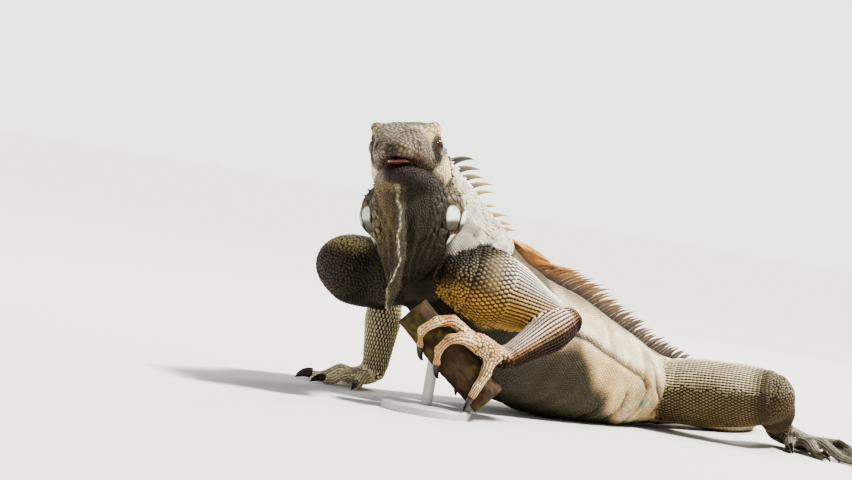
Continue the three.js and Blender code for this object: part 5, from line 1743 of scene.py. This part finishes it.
def follow_skin(v, centre, ahead, out, half_a, half_u):
    """A plate bent to the skin that it lies on."""
    def terms(x, y):
        return np.stack([np.ones_like(x), x, y, x * x, x * y, y * y], -1)

    up = np.cross(out, ahead)
    at, lift = [], []
    for x in np.linspace(-0.9, 0.9, 7) * half_a:
        for y in np.linspace(-0.9, 0.9, 7) * half_u:
            hit = cast_point(centre + ahead * x + up * y + out * 14, -out, 26)
            if hit is not None:
                at.append(terms(x, y))
                lift.append((hit - centre) @ out)
    bend = np.linalg.lstsq(np.array(at), np.array(lift), rcond=None)[0]
    x, y = (v - centre) @ ahead, (v - centre) @ up
    return v + out * np.clip(terms(x, y) @ bend, -6, 3)[:, None]


def shield_tones(v, rim, low_side, tint):
    """Pale, greenish plates, with a painted shadow over the lower part, and dark round the rim."""
    return layers(
        mixed(rgb(240, 246, 238), rgb(150, 178, 158), tint),
        (rgb(240, 242, 232), 0.5 * smooth(0.75, 0.2, rim) * smooth(0.4, 0.2, tint)),
        (rgb(166, 170, 154), 0.5 * smooth(0.1, 0.8, noise(v, 5, 3)) + 0.35 * smooth(0.7, 0.92, rim)),
        # Painted shadow over each plate's lower part.
        (rgb(66, 61, 49), 0.94 * smooth(0.08, -0.3, low_side)),
        (rgb(38, 32, 25), smooth(0.88, 0.97, rim)),
    )


def jowl_shield(name, side):
    """The big plates of one jowl, each bent to the skin."""
    swing = side * SHIELD_TURN
    ahead = FORWARD * math.cos(swing) - LEFT * math.sin(swing)
    out = (LEFT * math.cos(swing) + FORWARD * math.sin(swing)) * side
    centre = head_point(SHIELD_AT[0], side * SHIELD_AT[1], SHIELD_AT[2])
    parts = []
    for a, u, half_a, half_u, high, tint in SHIELD_DOMES:
        hit = cast(centre + ahead * a + HEAD_UP * u + out * 16, -out, 40)
        spot, face_out = np.array(hit[0]), unit(0.75 * out + 0.25 * np.array(hit[1]))
        lie = unit(ahead - (ahead @ face_out) * face_out)
        v, f, rim = dome_arrays(spot, lie, face_out, half_a, half_u, high)
        low_side = ((v - spot) @ HEAD_UP) / half_u
        proud = 0.3 if u > -8 else 1.0
        v = follow_skin(v, spot, lie, face_out, half_a, half_u) + face_out * proud
        tint = min(tint + (0.5 if side < 0 else 0), 1)
        parts.append((to_row(v), f, shield_tones(v, rim, low_side, tint)))
    coloured_piece(f"jowl_shield_{name}", parts, shield_material, [f"shield_{name}"])


for name, side in SIDES.items():
    jowl_shield(name, side)

# ------------------------------------------------------------------ spikes down the dewlap's front edge

spike_material = painted("dewlap_spikes", 0.5, 0.4, 600)
SPIKES = 24  # lengths of the edge, with a spike between each two
front = spline([(f, u, 0) for f, u in DEWLAP_FRONT], 30)[:, :2]
edge = spline([(f, hang(u) + sway(f, u), u) for f, u in front], SPIKES + 1)
edge = np.array([head_point(*q) for q in edge])
parts = []
for k in range(1, SPIKES):
    down = unit(edge[k + 1] - edge[k - 1])
    ahead = unit(np.cross(LEFT, down))
    ahead = ahead if ahead @ FORWARD > 0 else -ahead
    root = cast_point(edge[k] + ahead * 14, -ahead, 40)
    if root is None:
        continue
    size = (1.4 + 1.5 * math.sin(math.pi * k / SPIKES) ** 0.7) * rng.uniform(0.5, 1.2)
    t = np.linspace(0, 1, 6)[:, None]
    line = root - ahead * 1.0 + ahead * (size + 1) * t + down * size * 0.55 * t**1.6
    line = line + LEFT * rng.normal(0, 0.3) * t
    taper = 1 - t[:, 0] ** 1.3
    v, f, at = horn(line, LEFT, 1.5 * taper, 0.6 * taper + 0.05)
    tone = mixed(rgb(128, 118, 94), rgb(198, 188, 160), smooth(0.1, 0.7, at)) * rng.uniform(0.8, 1.1)
    parts.append((v, f, tone))
coloured_piece("dewlap_spikes", parts, spike_material, [])

# ------------------------------------------------------------------ claws

claw_material = painted("claw_horn", 0.24, 0.6, 300, 2200)
# A claw: length in mm, drop as a share of it, radius as a share of the digit's, and arch in radians.
CLAW_LENGTH, CLAW_DROP, CLAW_SHARE, CLAW_ARCH = 11, 0.62, 0.62, 1.35
CLEAR, SQUEEZED = 0.0002, 0.0012  # m over the floor: a claw's lowest point, and where it starts to flatten
DIGIT_RADIUS = {
    "hand_l": GRIP_RADIUS, "hand_r": HAND_SPEC["radius"],
    "foot_l": FOOT_SPEC["radius"], "foot_r": FOOT_SPEC["radius"],
}


def claw_arrays(root, ahead, down, radius):
    """A curved claw, flattened where it would pass the floor."""
    t = np.linspace(-0.12, 1, 14)[:, None]
    forward = ahead * CLAW_LENGTH * np.sin(t * CLAW_ARCH) / math.sin(CLAW_ARCH)
    line = root + forward + down * CLAW_LENGTH * CLAW_DROP * t * np.abs(t)
    size = radius * np.clip(1 - np.clip(t[:, 0], 0, 1) ** 1.15, 0.02, 1)
    v, f, at = horn(line, np.cross(ahead, down), size, size * 0.74, 10)
    z, low = v[:, 2], v[:, 2].min()
    if low < CLEAR:
        v[:, 2] = np.where(z < SQUEEZED, CLEAR + (z - low) * (SQUEEZED - CLEAR) / (SQUEEZED - low), z)
    tone = layers(
        rgb(74, 58, 44),
        (rgb(34, 26, 21), smooth(0.05, 0.45, at)),
        (rgb(96, 78, 60), 0.5 * smooth(0.8, 1, at)),
    )
    return v, f, tone


def grip_claw(tip, way, radius):
    """Root, way and down of a claw on the branch."""
    axis_point = BRANCH_FOOT + branch_along * ((tip - BRANCH_FOOT) @ branch_along)
    inward = unit(axis_point - tip)
    return tip + way * radius * 0.35 + inward * 0.6, way, unit(inward - way * (inward @ way))


def laid_claw(tip, way, radius):
    """The same for a claw on the floor."""
    way = unit(way * [1, 1, 0])
    root = tip + way * radius * 0.3
    root[2] = radius * 0.95
    return root, way, np.array([0, 0, -1.0])


for name, paths in PATHS.items():
    radius = DIGIT_RADIUS[name]
    place = grip_claw if name == "hand_l" else laid_claw
    parts = []
    for path in paths:
        root, way, down = place(path[-1], unit(path[-1] - path[-2]), radius)
        parts.append(claw_arrays(root, way, down, radius * CLAW_SHARE))
    coloured_piece(f"claws_{name}", parts, claw_material, [f"claw_{name}_{i + 1}" for i in range(5)])

# ------------------------------------------------------------------ perch branch and stand

BARK_LUMP = 0.8  # mm
BARK_RINGS, BARK_SIDES, END_RINGS = 110, 84, 8
branch_length = np.linalg.norm(BRANCH_HEAD - BRANCH_FOOT)
bark_material = painted("mossy_bark", 0.75, 0.25, 240, 900)


def along_branch(v):
    return (v - BRANCH_FOOT) @ branch_along


def bark_arrays():
    """The branch's side: lumps, cracks and a knot, and their colours."""
    around = 2 * math.pi * np.arange(BARK_SIDES) / BARK_SIDES
    ray = np.cos(around)[:, None] * branch_upper - np.sin(around)[:, None] * branch_near
    rings = []
    for share in np.linspace(*BRANCH_SPAN, BARK_RINGS):
        swell = np.sin(3 * around + 5 * share) + np.sin(2 * around - 9 * share)
        out = BRANCH_RADIUS - 2 * BARK_LUMP + BARK_LUMP * swell
        rings.append(BRANCH_FOOT + branch_along * share * branch_length + out[:, None] * ray)
    v = np.vstack(rings)
    outward = unit(v - BRANCH_FOOT - np.outer(along_branch(v), branch_along))
    crack = 1 - np.abs(noise(v - np.outer(along_branch(v) * 0.86, branch_along), 3.4, 2))
    rough = 0.35 * noise(v, 9, 4) + 0.2 * noise(v, 3, 6) - 0.55 * smooth(0.86, 0.99, crack)
    knot_at = BRANCH_FOOT + branch_along * 0.86 * branch_length + branch_near * 13 - branch_upper * 4
    v = v + outward * (rough + 1.1 * bump(np.linalg.norm(v - knot_at, axis=1), 6, 2.6))[:, None]
    moss = smooth(-0.1, 0.55, noise(v, 17, 1) + 0.35 * noise(v, 5, 3))
    tone = layers(
        rgb(84, 68, 54),
        (rgb(84, 56, 60), smooth(0.1, 0.7, noise(v, 22, 5))),
        (rgb(104, 104, 46), moss * 0.6),
        (rgb(140, 128, 72), 0.5 * smooth(0.3, 0.8, noise(v, 6, 7)) * moss),
        (rgb(52, 44, 36), 0.5 * smooth(0.0, 0.6, noise(v, 4, 9))),
        (rgb(34, 26, 24), 0.45 * smooth(0.88, 0.98, crack)),
    )
    return v, tube_faces(BARK_RINGS, BARK_SIDES, turned=True, ends=False), tone


def add_sawn_end(v, f, tone, start, way):
    """Closes one end of the branch with rings of wood; `way` is 1 at its upper end and -1 at its lower."""
    rim = np.array(v[start:start + BARK_SIDES])
    middle = rim.mean(0)
    last = start
    for step in range(1, END_RINGS + 1):
        ring = middle + (rim - middle) * (1 - step / (END_RINGS + 0.5))
        ring = ring + branch_along * way * 0.25 * noise(ring, 3, step % 5)[:, None]
        first = len(v)
        v += list(ring)
        wood = mixed(rgb(150, 118, 78), rgb(96, 70, 46), 0.5 + 0.5 * math.sin(step * 2.4))
        tone += [mixed(wood, rgb(60, 46, 36), 0.8 * (step == 1))] * BARK_SIDES
        for i in range(BARK_SIDES):
            j = (i + 1) % BARK_SIDES
            a, b, c, d = last + i, last + j, first + j, first + i
            f += [[a, b, c], [a, c, d]] if way < 0 else [[a, c, b], [a, d, c]]
        last = first
    v.append(middle)
    tone.append(rgb(84, 60, 40))
    for i in range(BARK_SIDES):
        a, b = last + i, last + (i + 1) % BARK_SIDES
        f.append([a, b, len(v) - 1] if way < 0 else [b, a, len(v) - 1])


v, f, tone = bark_arrays()
v, tone = list(v), list(tone)
add_sawn_end(v, f, tone, 0, -1)
add_sawn_end(v, f, tone, (BARK_RINGS - 1) * BARK_SIDES, 1)
bark = (to_row(np.array(v)), np.array(f), np.array(tone))
coloured_piece("perch_bark", [bark], bark_material, ["perch_branch"])

stand_material, tree, bsdf = shader("stand_paint", 0.42, 0.4)
shade = noise_node(tree, 60, 3.0)
tint = ramp(tree, shade.outputs["Fac"], [(0.3, (0.46, 0.45, 0.43)), (0.7, (0.52, 0.51, 0.49))])
tree.links.new(tint.outputs["Color"], bsdf.inputs["Base Color"])
bump_from(tree, bsdf, noise_node(tree, 900, 2.0).outputs["Fac"], 0.2, 0.0002)
for name in ("stand_base", "stand_rod"):
    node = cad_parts[name]
    node.data.materials.clear()
    node.data.materials.append(stand_material)
    edge_round = node.modifiers.new("eased_edges", "BEVEL")
    edge_round.width, edge_round.segments, edge_round.limit_method = 0.0008, 3, "ANGLE"

# ------------------------------------------------------------------ floor, light and camera

CAMERA_AZIMUTH, CAMERA_RISE, CAMERA_ROLL = math.radians(46), math.radians(1.0), math.radians(9.5)
CAMERA_AT = np.array([1287.9, -1377.0, 150.3])  # body frame, mm
CAMERA_LENS = 105.63

FLOOR_HALF = 60  # m
floor_mesh = bpy.data.meshes.new("floor")
corners = [(x * FLOOR_HALF, y * FLOOR_HALF, 0) for x, y in ((-1, -1), (1, -1), (1, 1), (-1, 1))]
floor_mesh.from_pydata(corners, [], [(0, 1, 2, 3)])
floor = bpy.data.objects.new("floor", floor_mesh)
bpy.context.scene.collection.objects.link(floor)
floor_material, _, floor_bsdf = shader("floor_plain", 0.8, 0.2)
floor_bsdf.inputs["Base Color"].default_value = (0.74, 0.73, 0.71, 1)
floor_mesh.materials.append(floor_material)

world = bpy.data.worlds.new("studio")
bpy.context.scene.world = world
world.use_nodes = True
# The studio's walls meet the far floor in its own tone and grow lighter overhead.
sky_tree = world.node_tree
way_up = sky_tree.nodes.new("ShaderNodeSeparateXYZ")
sky_tree.links.new(sky_tree.nodes.new("ShaderNodeTexCoord").outputs["Generated"], way_up.inputs["Vector"])
sky = ramp(sky_tree, way_up.outputs["Z"], [(0.12, (1.0, 0.99, 0.97)), (0.3, (0.3, 0.3, 0.31))])
sky_tree.links.new(sky.outputs["Color"], sky_tree.nodes["Background"].inputs["Color"])
sky_tree.nodes["Background"].inputs["Strength"].default_value = 1.3

CHEST = np.array([20, -60, 90])  # body frame, mm: what the lights point at


def studio_light(kind, name, azimuth, rise, distance, power, colour, **settings):
    """A light at an angle round the animal's chest, azimuth 0 on the camera's side, rise over the floor."""
    data = bpy.data.lights.new(name, kind)
    data.energy, data.color = power, colour
    for key, value in settings.items():
        setattr(data, key, value)
    light = bpy.data.objects.new(name, data)
    a, e = CAMERA_AZIMUTH + math.radians(azimuth), math.radians(rise)
    way = Vector((math.sin(a) * math.cos(e), -math.cos(a) * math.cos(e), math.sin(e)))
    light.location = Vector(to_row(CHEST)) + way * distance
    light.rotation_mode = "QUATERNION"
    light.rotation_quaternion = (-way).to_track_quat("-Z", "Y")
    bpy.context.scene.collection.objects.link(light)


studio_light("SUN", "key", 80, 58, 1.9, 5.0, (1.0, 0.96, 0.88), angle=math.radians(9))
studio_light("AREA", "fill", -50, 25, 2.4, 5, (0.9, 0.95, 1.0), shape="DISK", size=1.6)
studio_light("AREA", "rim", 150, 45, 2.2, 16, (1.0, 0.96, 0.9), shape="DISK", size=0.8)

camera_data = bpy.data.cameras.new("camera")
camera_data.lens = CAMERA_LENS
camera_data.sensor_width = 36
camera_data.clip_start, camera_data.clip_end = 0.1, 200
camera = bpy.data.objects.new("camera", camera_data)
look = np.array([
    -math.sin(CAMERA_AZIMUTH) * math.cos(CAMERA_RISE),
    math.cos(CAMERA_AZIMUTH) * math.cos(CAMERA_RISE),
    -math.sin(CAMERA_RISE),
])
level = np.array([math.cos(CAMERA_AZIMUTH), math.sin(CAMERA_AZIMUTH), 0])
upward = np.cross(level, look)
right = math.cos(CAMERA_ROLL) * level + math.sin(CAMERA_ROLL) * upward
above = -math.sin(CAMERA_ROLL) * level + math.cos(CAMERA_ROLL) * upward
turn = Matrix((right, above, -look)).transposed().to_4x4()
camera.matrix_world = Matrix.Translation(Vector(to_row(CAMERA_AT))) @ turn
bpy.context.scene.collection.objects.link(camera)
bpy.context.scene.camera = camera

bpy.context.scene.view_settings.view_transform = "AgX"
bpy.context.scene.view_settings.look = "AgX - High Contrast"
bpy.context.scene.view_settings.exposure = 0.12
